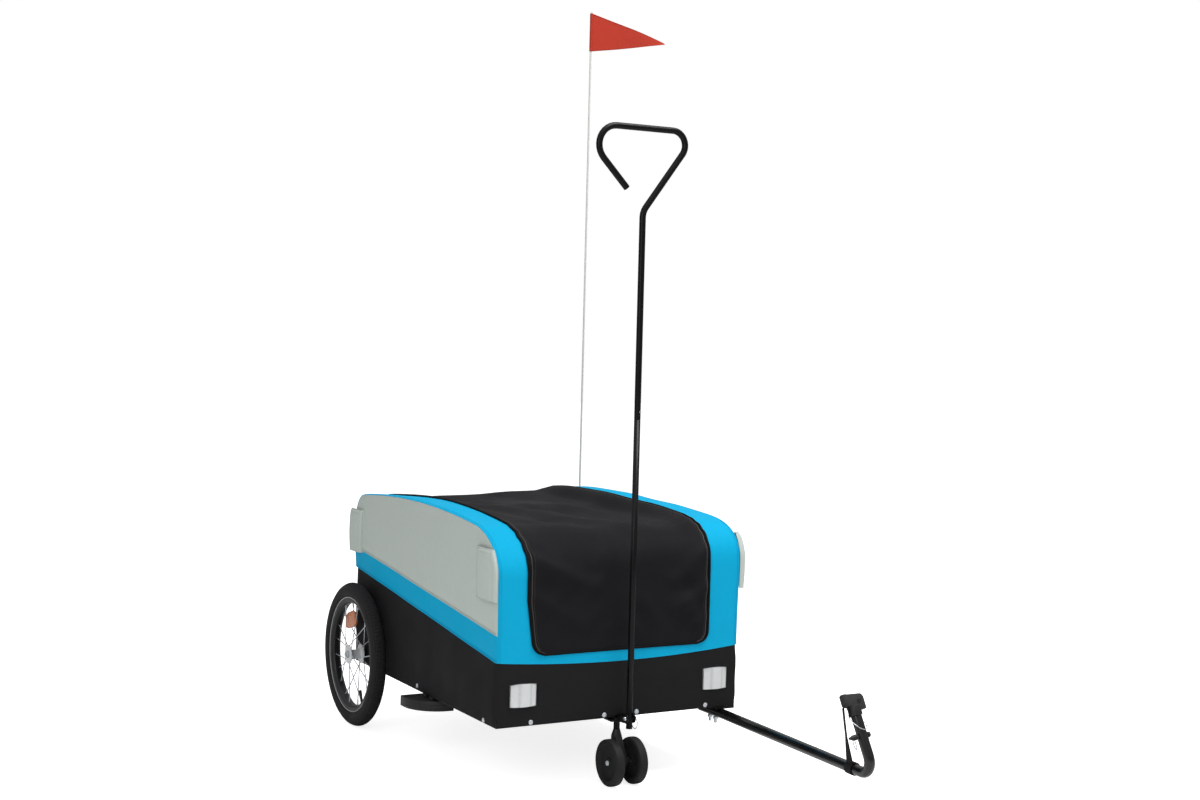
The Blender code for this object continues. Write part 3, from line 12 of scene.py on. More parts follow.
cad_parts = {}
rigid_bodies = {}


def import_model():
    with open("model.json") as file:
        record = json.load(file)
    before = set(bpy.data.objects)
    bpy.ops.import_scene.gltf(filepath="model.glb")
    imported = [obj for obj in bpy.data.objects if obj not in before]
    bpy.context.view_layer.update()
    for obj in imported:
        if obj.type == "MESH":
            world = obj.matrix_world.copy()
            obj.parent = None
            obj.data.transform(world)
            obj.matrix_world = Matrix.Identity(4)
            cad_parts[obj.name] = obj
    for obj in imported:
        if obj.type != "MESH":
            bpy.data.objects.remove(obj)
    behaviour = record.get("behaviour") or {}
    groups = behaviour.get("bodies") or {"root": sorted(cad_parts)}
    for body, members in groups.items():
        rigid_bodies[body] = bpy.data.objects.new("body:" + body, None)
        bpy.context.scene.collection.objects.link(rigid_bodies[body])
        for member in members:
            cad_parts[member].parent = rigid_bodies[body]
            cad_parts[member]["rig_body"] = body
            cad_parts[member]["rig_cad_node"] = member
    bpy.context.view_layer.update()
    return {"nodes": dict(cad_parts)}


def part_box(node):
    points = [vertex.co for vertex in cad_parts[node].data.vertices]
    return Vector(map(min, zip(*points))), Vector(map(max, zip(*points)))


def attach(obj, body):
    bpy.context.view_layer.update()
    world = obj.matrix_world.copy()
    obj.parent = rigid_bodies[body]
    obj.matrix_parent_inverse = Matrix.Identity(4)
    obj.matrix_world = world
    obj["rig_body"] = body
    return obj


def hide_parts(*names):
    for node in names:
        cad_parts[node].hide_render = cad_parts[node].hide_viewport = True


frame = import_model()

bl_info = {
    "name": "Bicycle Trailer Looks",
    "version": (1, 0, 0),
    "blender": (4, 5, 0),
    "location": "View3D > Sidebar > Trailer",
    "description": "Dresses a bicycle cargo trailer's frame in cloth, tyres, paint and light",
    "category": "Object",
}

# The tub, measured on the frame: x from its middle, y from its front face, z from the ground
SKIRT_LOW, SKIRT_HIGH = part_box("lower_skirt")
MIDDLE_X = (SKIRT_LOW.x + SKIRT_HIGH.x) / 2
FRONT_Y = SKIRT_LOW.y
HALF = (SKIRT_HIGH.x - SKIRT_LOW.x) / 2
LENGTH = SKIRT_HIGH.y - SKIRT_LOW.y
TRAY_Z = SKIRT_LOW.z
CROWN_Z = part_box("left_band")[1].z
LID_HALF = (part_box("cover")[1].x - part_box("cover")[0].x) / 2
LID_LOW_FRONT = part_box("cover")[0].z
REAR_SKIRT_TOP = SKIRT_HIGH.z
SIDES = (("left", 1), ("right", -1))

# Side outline of the tub, as the frame has it
CROWN_Y = 0.520
CROWN_FALL = 0.149          # metres of fall for each square metre of distance
FRONT_CORNER = (0.140, 0.093)
REAR_CORNER = (0.045, 0.055)
SKIRT_TOP_FRONT = 0.324
SKIRT_TOP_SAG = 0.017
STRIPE_TOP = (0.389, 0.495)
LID_LOW_REAR = 0.462
CLOTH = 0.0016
HOOP_BEND = 0.009           # radius of cloth drawn over a hoop
EDGE_STEP = HOOP_BEND * (1 - math.sqrt(0.5))    # where a seam lies on that rounded corner
BULGE_Z = 0.535             # height at which the sides stand out most
BULGE_REACH = 0.105         # how far above and below it they still do
HEM_SHARE = 0.07            # share of the skirt's height that is turned under the rails
HEM_DEPTH = 0.012           # how far in the hem reaches
SQUARE = 2.9                # power of the squarer left corners
LEFT_RISE = 0.007           # how much higher the cloth stands near them
LEFT_DIP = 0.005            # how much lower it hangs between them
RIGHT_DIP = 0.006           # how much lower the lid's right edge lies towards the rear
OVER_CROSSBAR = 0.18        # share of the lid's sag that is left where it passes over the rear crossbar
LEFT_INSET = 0.0125         # how much further in the lid's left edge lies on its front
LID_CORNER = 0.030          # radius of the lid's lower corners
LID_TAPER = (0.470, 0.018)  # height below which its front narrows on the right, and by how much
LID_TAPE = 0.985            # share of the lid's width at which its zip tape shows
LID_STITCHES = 0.974        # and its stitches
# Ridges on the lid's front: start and end (x, rise from its lower edge), half width, height in folds
FRONT_FOLDS = (((-0.275, 0.240), (-0.05, 0.145), 0.020, 2.4),
               ((-0.265, 0.155), (-0.11, 0.060), 0.018, 1.7),
               ((0.272, 0.225), (0.14, 0.155), 0.018, 2.1),
               ((0.272, 0.150), (0.15, 0.085), 0.018, 2.0),
               ((0.268, 0.068), (0.18, 0.033), 0.012, 1.2))
# How far a pocket stands out, by share of its length from front to rear, and how full it is by height
POCKET_REAR = ((0.0, 0.0), (0.05, 0.0060), (0.16, 0.0105), (0.50, 0.0120), (0.86, 0.0115), (1.0, 0.0090))
POCKET_FRONT = {"left": ((0.0, 0.0), (0.06, 0.0150), (0.25, 0.0175), (0.55, 0.0140), (0.88, 0.0070),
                         (1.0, 0.0005)),
                "right": ((0.0, 0.0), (0.05, 0.0046), (0.12, 0.0082), (0.25, 0.0116), (0.42, 0.0130),
                          (0.74, 0.0112), (0.80, 0.0102), (0.94, 0.0014), (1.0, 0.0003))}
POCKET_FILL = ((0.0, 0.90), (0.30, 1.0), (0.80, 1.0), (0.95, 0.90), (1.0, 0.55))
TYRE_WIDEST = 0.1751        # radius at which the tyre is widest
TYRE_HALF = 0.021
TYRE_RISE = 0.0244          # from there to the tread
TYRE_ROUND = 1.9            # power of its crown
TYRE_RIBS = (0.1640, 0.1850)
TYRE_RADII = (0.1560, 0.1588, 0.1612, 0.1632, 0.1640, 0.1648, 0.1675, 0.1710, 0.1751, 0.1790, 0.1825,
              0.1842, 0.1850, 0.1858, 0.1885, 0.1910, 0.1925)
TREAD_EDGES = (0.0125, 0.0075, 0.0025)
RIM_SECTION = ((0.1500, 0.0060), (0.1515, 0.0085), (0.1550, 0.0105), (0.1562, 0.0110), (0.1590, 0.0116),
               (0.1594, 0.0130), (0.1588, 0.0142), (0.1575, 0.0144), (0.1490, 0.0140), (0.1480, 0.0132),
               (0.1440, 0.0085), (0.1425, 0.0060))
HUB_SECTION = ((0.0063, -0.0250), (0.0120, -0.0250), (0.0130, -0.0240), (0.0130, -0.0205), (0.0255, -0.0195),
               (0.0265, -0.0188), (0.0265, -0.0172), (0.0255, -0.0165), (0.0145, -0.0150), (0.0130, -0.0130),
               (0.0124, 0.0), (0.0130, 0.0130), (0.0145, 0.0150), (0.0255, 0.0165), (0.0265, 0.0172),
               (0.0265, 0.0188), (0.0255, 0.0195), (0.0180, 0.0198), (0.0170, 0.0205), (0.0063, 0.0205))
FLANGE = 0.018              # from the wheel's middle plane to a hub flange
SPOKE_HOLES = 0.0225        # radius of the flange's circle of holes
SPOKE_END = 0.1418          # radius at which a spoke enters the rim
SPOKES = 10                 # on each flange
LACING = 0.62               # angle that a spoke gains on its way to the rim
STAGGER = 0.0013            # how far crossing spokes lie from their flange's middle
NIPPLE = (0.0023, 0.0130)   # radius and length
RIM_EDGE = (0.1585, 0.0141)         # radius, and distance from the wheel's middle plane
VALVE_WAY = (0, -0.4425, -0.8967)   # from the hub to the valve
GUARD_ROUND = 0.090         # radius of a wheel guard's bend
CASTER_SECTION = ((0.0045, 0.0073), (0.0120, 0.0073), (0.0128, 0.0066), (0.0138, 0.0046), (0.0360, 0.0040),
                  (0.0400, 0.0058), (0.0430, 0.0104), (0.0452, 0.0122), (0.0505, 0.0122), (0.0545, 0.0114),
                  (0.0570, 0.0094), (0.0579, 0.0060), (0.0580, 0.0030))
CASTER_CAP = ((0.0, 0.0066), (0.0062, 0.0066), (0.0066, 0.0080), (0.0056, 0.0102), (0.0032, 0.0114),
              (0.0, 0.0117))
PIVOT = (0.307, 0.062, 0.1462)      # the towing arm's hinge
ARM_BEND = (0.307, -0.617, 0.1320)
ARM_TOP = (0.295, -0.558, 0.260)
ARM_ROUNDS = (0.200, 0.030)         # radii of its two bends
ARM_RADIUS = 0.0127
PIN_DROP = 0.046            # from the arm's top down to the hitch pin
BOSS = ((0.0, 0.0), (0.0034, 0.0), (0.0068, 0.0030), (0.0062, 0.0120), (0.0026, 0.0225), (0.0, 0.0230))
CAP_BOLT = ((0.0, 0.0), (0.0052, 0.0), (0.0052, 0.0020), (0.0040, 0.0034), (0.0, 0.0038))
STRAP = 0.0024              # thickness of the safety strap
HANDLE_Y = -0.045
HANDLE_PATH = ((0, 0.9055), (0, 1.411), (0.150, 1.613), (-0.1895, 1.613), (-0.0462, 1.4654))    # x and z
HANDLE_ROUNDS = (0.045, 0.035, 0.047)
HANDLE_RADIUS = 0.008
LAMP = (0.0700, 0.0080, 0.0520)     # width, depth and height of a corner reflector
LAMP_RIDGE = 0.125          # share of its width from its middle to the ridge
BOLT_RADIUS = 0.0062
BOLT_SECTION = ((0.0, -0.0004), (0.0060, -0.0004), (BOLT_RADIUS, 0.0004), (0.0058, 0.0014),
                (0.0044, 0.0023), (0.0024, 0.0028), (0.0, 0.0029))
FLAG_HEM = 0.0046           # radius of the pennant's hem round the pole
CAMERA_PLACE = (-2.098, -3.5911, 1.1121)
CAMERA_TURN = (29.33, 2.23, 1.47)   # degrees to the side, down and rolled
FLOOR_GLOW = 0.80           # how brightly the white floor is seen
THREAD = 0.00045            # radius of sewing thread
STITCH = 0.0032
STITCH_PITCH = 0.0055
PITCH = math.pi / 10        # metres of wave texture period at a scale of 1


def at(x, y, z):
    """A place on the trailer in the frame's coordinates."""
    return Vector((MIDDLE_X + x, FRONT_Y + y, z))


def linear(code):
    """A hex sRGB colour as linear red, green, blue and alpha."""
    values = [int(code[i:i + 2], 16) / 255 for i in (1, 3, 5)]
    return (*[v / 12.92 if v <= 0.04045 else ((v + 0.055) / 1.055) ** 2.4 for v in values], 1.0)


def blend(low, high, share):
    """Between two values by a share from 0 to 1."""
    return low + (high - low) * share


def ease(low, high, value):
    """0 at low, 1 at high, and a smooth rise between; high may be the smaller."""
    share = max(0.0, min(1.0, (value - low) / (high - low)))
    return share * share * (3 - 2 * share)


def colour(name, code, text):
    """A colour setting with a hex default."""
    return bpy.props.FloatVectorProperty(name=name, description=text, subtype="COLOR", size=4,
                                         min=0.0, max=1.0, default=linear(code))


def size(name, metres, text):
    """A length setting in metres."""
    return bpy.props.FloatProperty(name=name, description=text, unit="LENGTH", default=metres, min=0.0)


class TubSettings(bpy.types.PropertyGroup):
    """Cloth walls of the tub."""

    blue: colour("Blue", "#0FA9D6", "Coated polyester of the bands and stripes")
    grey: colour("Grey", "#BFC8C2", "Coated polyester of the side panels and corner pockets")
    black: colour("Black", "#212122", "Coated polyester of the skirt")
    thread: size("Thread spacing", 0.0016, "Weave of the cloth, drawn coarse enough to show")
    bulge: size("Bulge", 0.008, "How far the cloth of the sides stands out, at the most")
    cord: size("Seam radius", 0.0012, "Folded seams between the tub's cloths")


class LidSettings(bpy.types.PropertyGroup):
    """Cloth lid over the tub."""

    black: colour("Black", "#1F1F21", "Coated polyester of the lid")
    # Seam colours the zip tape and its stitches along the lid's side edges, lighter than the lid as a painted
    # highlight of the seam.
    seam: colour("Seam", "#403C38", "Zip tape seen along the lid's side edges")
    binding: colour("Binding", "#0B0B0C", "Binding tape folded over the piping cord")
    piping: size("Piping radius", 0.0034, "Round cord sewn into the lid's edge")
    sag: size("Sag", 0.026, "How far the lid hangs between the bands")
    fold: size("Fold", 0.0062, "Height of the lid's soft folds")


class MetalSettings(bpy.types.PropertyGroup):
    """Frame, handle, towing arm and small fittings."""

    coat: colour("Powder coat", "#0D0D0E", "Baked powder on the steel tubes")
    zinc: colour("Zinc", "#C3C8CC", "Bright zinc plating of bolts, spokes and axles")
    plastic: colour("Plastic", "#1C1C1D", "Moulded polypropylene of the caster, guards and coupler")
    webbing: colour("Webbing", "#232324", "Woven strap of the hitch")
    bolt: size("Bolt head radius", BOLT_RADIUS, "Round heads that hold the skirt to the rails")


class WheelSettings(bpy.types.PropertyGroup):
    """Spoked wheels."""

    rubber: colour("Rubber", "#1B1B1C", "Tyres")
    rim: colour("Rim", "#1D1E20", "Black anodised aluminium")
    # Rim edge colours the thin light rings on the rims' hook edges: a painted highlight along them.
    edge: colour("Rim edge", "#A6A8AA", "Rim's machined edges")
    amber: colour("Amber", "#E07C3C", "Reflector between the spokes")
    spoke: size("Spoke radius", 0.0014, "Plated steel wire")
    tread: size("Tread depth", 0.0014, "Height of the tread's blocks")


class FlagSettings(bpy.types.PropertyGroup):
    """Safety flag."""

    red: colour("Red", "#AC3526", "Nylon of the pennant")
    rod: colour("Rod", "#C9C9C6", "Glass-fibre pole")
    wave: size("Wave", 0.006, "How far the pennant ripples")


class StageSettings(bpy.types.PropertyGroup):
    """Camera and light."""

    lens: bpy.props.FloatProperty(name="Lens", description="Focal length in mm for a 36 mm sensor",
                                  default=50.785, min=10)
    ambient: bpy.props.FloatProperty(name="Ambient", description="Strength of the light from all round",
                                     default=0.42, min=0)
    key: bpy.props.FloatProperty(name="Key", description="Power of the soft light above", unit="POWER",
                                 default=165, min=0)


def deselect():
    """Leave edit mode and select nothing."""
    if bpy.context.object and bpy.context.object.mode != "OBJECT":
        bpy.ops.object.mode_set(mode="OBJECT")
    bpy.ops.object.select_all(action="DESELECT")


def only(piece):
    """Select one piece and make it active."""
    deselect()
    piece.select_set(True)
    bpy.context.view_layer.objects.active = piece


def edit(piece, chosen=None):
    """Open a piece in edit mode with its chosen faces selected, or all of it."""
    only(piece)
    bpy.context.tool_settings.mesh_select_mode = (False, False, True)
    bpy.ops.object.mode_set(mode="EDIT")
    bpy.ops.mesh.select_all(action="SELECT" if chosen is None else "DESELECT")
    if chosen is not None:
        bpy.ops.object.mode_set(mode="OBJECT")
        for polygon in piece.data.polygons:
            polygon.select = chosen(polygon)
        bpy.ops.object.mode_set(mode="EDIT")


def modify(piece, kind, **settings):
    """Add a modifier with its settings and apply it."""
    only(piece)
    step = piece.modifiers.new(kind.lower(), kind)
    for name, value in settings.items():
        setattr(step, name, value)
    bpy.ops.object.modifier_apply(modifier=step.name)


def bevelled(piece, width, angle=60, segments=3):
    """Round a piece's edges that turn by more than an angle."""
    modify(piece, "BEVEL", width=width, segments=segments, limit_method="ANGLE",
           angle_limit=math.radians(angle))
    return piece


def settle(piece, angle=35):
    """Apply the piece's place to its mesh and smooth it up to an angle."""
    only(piece)
    bpy.ops.object.transform_apply(location=True, rotation=True, scale=True)
    bpy.ops.object.shade_smooth_by_angle(angle=math.radians(angle))
    return piece


def dress(piece, look, body, slot, *nodes):
    """Give a finished piece its material and its body, and hide the nodes it stands for; slot is not used."""
    piece.data.materials.clear()
    piece.data.materials.append(look)
    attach(piece, body)
    if nodes:
        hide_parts(*nodes)
    return piece


def named(piece, name):
    """Name a piece and its mesh."""
    piece.name = name
    piece.data.name = name
    return piece


def recalculate(piece):
    """Merge doubles, drop loose edges and turn the faces outward."""
    edit(piece)
    bpy.ops.mesh.remove_doubles(threshold=0.00001)
    bpy.ops.mesh.delete_loose(use_verts=True, use_edges=True, use_faces=False)
    bpy.ops.mesh.select_all(action="SELECT")
    bpy.ops.mesh.normals_make_consistent(inside=False)
    bpy.ops.object.mode_set(mode="OBJECT")


def turned(name, profile, steps, centre, axis="X"):
    """Spin a closed outline of (radius, distance along the axis) points about an axis."""
    deselect()
    bpy.ops.mesh.primitive_circle_add(vertices=len(profile), radius=1)
    piece = named(bpy.context.object, name)
    out, along = Vector((0, 0, 1)), Vector((1, 0, 0))
    if axis == "Z":
        out, along = along, out
    for vertex, (radius, distance) in zip(piece.data.vertices, profile):
        vertex.co = out * radius + along * distance
    edit(piece)
    bpy.context.tool_settings.mesh_select_mode = (True, False, False)
    bpy.ops.mesh.select_all(action="SELECT")
    bpy.ops.mesh.spin(steps=steps, angle=2 * math.pi, center=(0, 0, 0), axis=along)
    recalculate(piece)
    piece.data.transform(Matrix.Translation(centre))
    return piece


def tubes(name, paths, radius, sides=12, closed=False):
    """Round bars along one path or several, in one mesh."""
    deselect()
    bpy.ops.curve.primitive_nurbs_path_add()
    piece = named(bpy.context.object, name)
    curve = piece.data
    curve.splines.clear()
    for path in paths:
        spline = curve.splines.new("POLY")
        spline.points.add(len(path) - 1)
        for point, place in zip(spline.points, path):
            point.co = (*place, 1.0)
        spline.use_cyclic_u = closed
    curve.dimensions = "3D"
    curve.bevel_depth = radius
    curve.bevel_resolution = sides // 4
    curve.use_fill_caps = not closed
    bpy.ops.object.convert(target="MESH")
    recalculate(piece)
    return settle(piece, 50)


def copied(piece, name, move):
    """A copy of a piece with its own mesh, moved by a matrix."""
    twin = piece.copy()
    twin.data = piece.data.copy()
    bpy.context.scene.collection.objects.link(twin)
    named(twin, name)
    twin.data.transform(move)
    if move.determinant() < 0:
        twin.data.flip_normals()
    return twin


def facing(spot, out):
    """The move that takes a piece made about +Z to a spot and turns it to face out."""
    return Matrix.Translation(spot) @ out.to_track_quat("Z", "Y").to_matrix().to_4x4()


def joined(pieces, name):
    """Join pieces into one mesh."""
    deselect()
    for piece in pieces:
        piece.select_set(True)
    bpy.context.view_layer.objects.active = pieces[0]
    bpy.ops.object.join()
    return named(bpy.context.object, name)


def smoothed(node, name, angle=35, bevel=0.0):
    """A merged and smoothed copy of a frame node, with its sharp edges rounded."""
    piece = frame["nodes"][node].copy()
    piece.data = piece.data.copy()
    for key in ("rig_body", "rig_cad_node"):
        del piece[key]
    piece.parent = None
    bpy.context.scene.collection.objects.link(piece)
    named(piece, name)
    edit(piece)
    bpy.ops.mesh.remove_doubles(threshold=0.00001)
    bpy.ops.mesh.tris_convert_to_quads(face_threshold=0.02, shape_threshold=0.5)
    bpy.ops.object.mode_set(mode="OBJECT")
    if bevel:
        bevelled(piece, bevel, angle, 2)
    return settle(piece, angle)


def cloth(name, place, columns, rows, thickness=CLOTH, closed=False):
    """A sheet whose points follow a rule of (across, along), each 0 to 1, with UVs in metres.

    Returns the piece and its flat size, measured along its two middle lines.
    """
    flat = []
    for line in ([place(k / 80, 0.5) for k in range(81)], [place(0.5, k / 80) for k in range(81)]):
        flat.append(sum((b - a).length for a, b in zip(line, line[1:])))
    deselect()
    bpy.ops.mesh.primitive_grid_add(x_subdivisions=columns, y_subdivisions=rows, size=1)
    piece = named(bpy.context.object, name)
    for corner in piece.data.uv_layers.active.data:
        corner.uv = (corner.uv.x * flat[0], corner.uv.y * flat[1])
    for vertex in piece.data.vertices:
        vertex.co = place(vertex.co.x + 0.5, vertex.co.y + 0.5)
    if closed:
        edit(piece)
        bpy.ops.mesh.remove_doubles(threshold=0.00001)
        bpy.ops.object.mode_set(mode="OBJECT")
    modify(piece, "SOLIDIFY", thickness=thickness, offset=-1)
    return settle(piece, 60), tuple(flat)


def one_side(piece):
    """Area of one side of a cloth."""
    return sum(polygon.area for polygon in piece.data.polygons) / 2


def round_edge(place, across, along):
    """Places round a cloth's edge, from its first corner at the far side and along that side."""
    path = [place(1.0, k / along) for k in range(along + 1)]
    path += [place(1 - k / across, 1.0) for k in range(1, across)]
    path += [place(0.0, 1 - k / along) for k in range(along + 1)]
    return path + [place(k / across, 0.0) for k in range(1, across)]


def add(tree, kind, sockets, **settings):
    """Add a shader node, with its sockets' values or links and its own settings."""
    made = tree.nodes.new("ShaderNode" + kind)
    for name, value in settings.items():
        setattr(made, name, value)
    for socket, value in sockets.items():
        if isinstance(value, bpy.types.NodeSocket):
            tree.links.new(value, made.inputs[socket])
        else:
            made.inputs[socket].default_value = value
    return made


def calculate(tree, operation, *values):
    """The result of one Math node on values or sockets."""
    return add(tree, "Math", dict(enumerate(values)), operation=operation).outputs[0]


def ranged(tree, share, *limits):
    """A share carried from one (low, high) to another, which is 0 and 1 if it isn't given."""
    return add(tree, "MapRange", {0: share, **dict(enumerate(limits, 1))}).outputs[0]


def patches(tree, place, scale, detail):
    """Soft irregular patches, as many to the metre as the scale."""
    return add(tree, "TexNoise", {"Vector": place, "Scale": scale, "Detail": detail}).outputs["Fac"]


def ribs(tree, place, direction, pitch, distortion, finer=1.0):
    """Ribs that lie a pitch in metres apart."""
    sockets = {"Vector": place, "Scale": PITCH / pitch, "Distortion": distortion, "Detail": 1.0,
               "Detail Scale": finer}
    return add(tree, "TexWave", sockets, bands_direction=direction).outputs["Fac"]


def weave(tree, place, pitches, distortion, finer=1.0):
    """Ribs that cross as warp and weft do."""
    ways = [ribs(tree, place, way, pitch, distortion, finer) for way, pitch in zip("XY", pitches)]
    return calculate(tree, "MULTIPLY", *ways)


def start_look(name, base, **values):
    """A material with its Principled shader's own values set, its node tree and its coordinates."""
    look = bpy.data.materials.new(name)
    look.use_nodes = True
    inputs = look.node_tree.nodes["Principled BSDF"].inputs
    inputs["Base Color"].default_value = base
    for key, value in values.items():
        inputs[key.replace("_", " ").title().replace("Ior", "IOR")].default_value = value
    return look, look.node_tree, add(look.node_tree, "TexCoord", {}).outputs


def shade(look, base, tone, relief, gloss=None, under=None):
    """Link a material's tone, relief and gloss to its shader.

    tone is a share with how dark and how light it makes the base colour, relief a height with
    its strength and its depth in metres, and under a coarser relief below it.
    """
    tree = look.node_tree
    share, *ends = tone
    dark, light = [(*[min(1.0, value * end) for value in base[:3]], 1.0) for end in ends]
    bump = dict(zip(("Height", "Strength", "Distance"), relief))
    if under is not None:
        bump["Normal"] = under
    links = {"Base Color": add(tree, "Mix", {0: share, 6: dark, 7: light}, data_type="RGBA").outputs[2],
             "Normal": add(tree, "Bump", bump).outputs[0]}
    if gloss is not None:
        links["Roughness"] = gloss
    for socket, value in links.items():
        tree.links.new(value, tree.nodes["Principled BSDF"].inputs[socket])
    return look


def coated_polyester(name, base, thread, roughness=0.62, shine=0.05):
    """Plain-woven polyester with a matt coating: fine ribs both ways and faint rub marks."""
    look, tree, coords = start_look(name, base, roughness=roughness, specular_ior_level=shine)
    woven = weave(tree, coords["UV"], (thread, thread), 0.3, 2.0)
    slubs = patches(tree, coords["UV"], 60.0, 6.0)
    rubbed = patches(tree, coords["Object"], 7.0, 4.0)
    share = calculate(tree, "MULTIPLY_ADD", woven, 0.55, 0.2)
    mottle = calculate(tree, "MULTIPLY_ADD", slubs, 0.35, share)
    rough = ranged(tree, rubbed, 0.35, 0.7, roughness - 0.08, roughness + 0.1)
    soft = add(tree, "Bump", {"Height": rubbed, "Strength": 0.25, "Distance": 0.004}).outputs[0]
    return shade(look, base, (mottle, 0.86, 1.08), (woven, 0.5, 0.0003), rough, soft)


def surface(name, base, roughness, spread, grain, height, **values):
    """A smooth finish whose gloss and tone wander in patches, over a fine bump.

    grain is the width of the bump's spots in metres and height their depth.
    """
    look, tree, coords = start_look(name, base, roughness=roughness, **values)
    wide = patches(tree, coords["Object"], 14.0, 6.0)
    fine = patches(tree, coords["Object"], 1 / grain, 2.0)
    rough = ranged(tree, wide, 0.35, 0.7, roughness - spread, roughness + spread)
    return shade(look, base, (wide, 0.84, 1.12), (fine, 0.6, height), rough)


def sewing_thread(name, base):
    """Twisted polyester thread, drawn darker than the cloth as painted shade for the small dents it lies in.
    """
    # Painted shade: the cloth's colour is darkened to 0.82 for the thread.
    dull = tuple(c * 0.82 for c in base[:3]) + (1.0,)
    return surface(name, dull, 0.6, 0.1, 0.0008, 0.0002, specular_ior_level=0.1)


def powder_coat(base, gloss=0.0):
    """Baked powder paint: satin black whose orange peel breaks up its highlights."""
    return surface("black powder coat", base, 0.34, 0.08, 0.0022, 0.00015, specular_ior_level=0.16,
                   coat_weight=gloss, coat_roughness=0.16)


def bright_zinc(base):
    """Bright zinc plating on steel: a soft bluish mirror with dull passivated patches."""
    return surface("bright zinc plating", base, 0.27, 0.09, 0.0014, 0.00006, metallic=1.0)


def passivated_zinc(base):
    """Zinc plating gone dull: pale grey and evenly lit, with hardly a mirror image left."""
    return surface("passivated zinc", base, 0.48, 0.08, 0.0010, 0.00008, metallic=0.35)


def moulded_plastic(base):
    """Injection-moulded polypropylene: black, with a fine eroded grain that dulls its shine."""
    return surface("moulded polypropylene", base, 0.52, 0.07, 0.0010, 0.0001, specular_ior_level=0.35)


def tyre_rubber(base):
    """Vulcanised rubber: nearly matt, greyer where it has picked up dust."""
    return surface("tyre rubber", base, 0.74, 0.08, 0.0009, 0.0001, specular_ior_level=0.25)


def aluminium(name, base, metallic):
    """Satin aluminium: a soft sheen without sharp mirror images, dark where it is anodised black."""
    return surface(name, base, 0.42, 0.06, 0.0012, 0.00005, metallic=metallic)


def phenolic_board(base):
    """Film-faced plywood: smooth dark brown resin over the floor board."""
    return surface("film-faced plywood", base, 0.45, 0.08, 0.0030, 0.0001)


def glass_fibre(base):
    """Pultruded glass-fibre rod: white resin with faint lengthwise fibres."""
    look, tree, coords = start_look("glass-fibre rod", base, roughness=0.35)
    drawn = add(tree, "Mapping", {"Vector": coords["Object"], "Scale": (900.0, 900.0, 14.0)})
    fibres = patches(tree, drawn.outputs[0], 1.0, 3.0)
    return shade(look, base, (fibres, 0.88, 1.05), (fibres, 0.3, 0.0002))


def prism_plastic(name, base, prism=0.0026):
    """Moulded acrylic reflector: small prisms behind a glossy face, drawn coarse enough to show."""
    look, tree, coords = start_look(name, base, roughness=0.12, coat_weight=0.6, coat_roughness=0.05)
    cells = add(tree, "TexVoronoi", {"Vector": coords["Object"], "Scale": 1 / prism, "Randomness": 0.12},
                feature="DISTANCE_TO_EDGE")
    edges = ranged(tree, cells.outputs["Distance"], 0.0, 0.45)
    return shade(look, base, (edges, 0.62, 1.22), (edges, 0.7, 0.0008))


def ribbed_cloth(name, base, pitches, roughness, low, high, depth):
    """A weave on UVs whose ribs run both ways, with its tone between two shares of the base."""
    look, tree, coords = start_look(name, base, roughness=roughness, specular_ior_level=0.12)
    woven = weave(tree, coords["UV"], pitches, 0.4)
    return shade(look, base, (woven, low, high), (woven, 0.8, depth))


def webbing_cap(base):
    """Folded webbing of the hitch's cap: coarse ribs across it on Object coordinates."""
    look, tree, coords = start_look("folded webbing", base, roughness=0.78)
    coarse = ribs(tree, coords["Object"], "DIAGONAL", 0.0022, 0.5)
    return shade(look, base, (coarse, 0.7, 1.5), (coarse, 0.8, 0.0005))


def seen_by_camera(tree):
    """A node tree's kinds of ray, and 1 for those that the camera sends straight or through glass."""
    rays = add(tree, "LightPath", {}).outputs
    return rays, calculate(tree, "MAXIMUM", rays["Is Camera Ray"], rays["Is Transmission Ray"])


def round_share(share):
    """Height of the tyre's crown at a share of its half width, or the other way about."""
    return (1 - share ** TYRE_ROUND) ** (1 / TYRE_ROUND)


def tyre_half(radius):
    """Half width of the tyre at a radius, with its two moulded ribs."""
    if radius < TYRE_WIDEST:
        half = TYRE_HALF - 0.007 * ((TYRE_WIDEST - radius) / 0.0163) ** 2.4
    else:
        half = TYRE_HALF * round_share((radius - TYRE_WIDEST) / TYRE_RISE)
    for rib in TYRE_RIBS:
        half += 0.0008 * math.exp(-((radius - rib) / 0.0006) ** 2)
    return half


def tread_radius(x):
    """Radius of the tread at a distance from the tyre's middle."""
    return TYRE_WIDEST + TYRE_RISE * round_share(x / TYRE_HALF)


def mirrored(half):
    """A closed section from its half, given as (radius, distance) points."""
    return list(half) + [(radius, -distance) for radius, distance in reversed(half)]


def through(points, value):
    """Height at a place on a line of (place, height) points."""
    for (low, start), (high, end) in zip(points, points[1:]):
        if value <= high:
            return blend(start, end, (value - low) / (high - low))
    return points[-1][1]


def bent(corners, radii, steps=12):
    """A path through corners, with each bend a true arc."""
    path = [corners[0]]
    for before, corner, after, radius in zip(corners, corners[1:], corners[2:], radii):
        back, ahead = (before - corner).normalized(), (after - corner).normalized()
        half = back.angle(ahead) / 2
        reach = radius / math.tan(half)
        centre = corner + (back + ahead).normalized() * (radius / math.sin(half))
        start, end = [(corner + way * reach - centre).normalized() for way in (back, ahead)]
        path += [centre + start.slerp(end, k / steps) * radius for k in range(steps + 1)]
    return path + [corners[-1]]


def stitches(path):
    """Short dashes along a path, one for each lockstitch."""
    dashes = []
    walked = 0.0
    for a, b in zip(path, path[1:]):
        step = (b - a).length
        while walked < step:
            start = a.lerp(b, walked / step)
            dashes.append([start, start + (b - a) * (STITCH / step)])
            walked += STITCH_PITCH
        walked -= step
    return dashes


def middle(node):
    """The middle of a node's box."""
    low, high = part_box(node)
    return (low + high) / 2


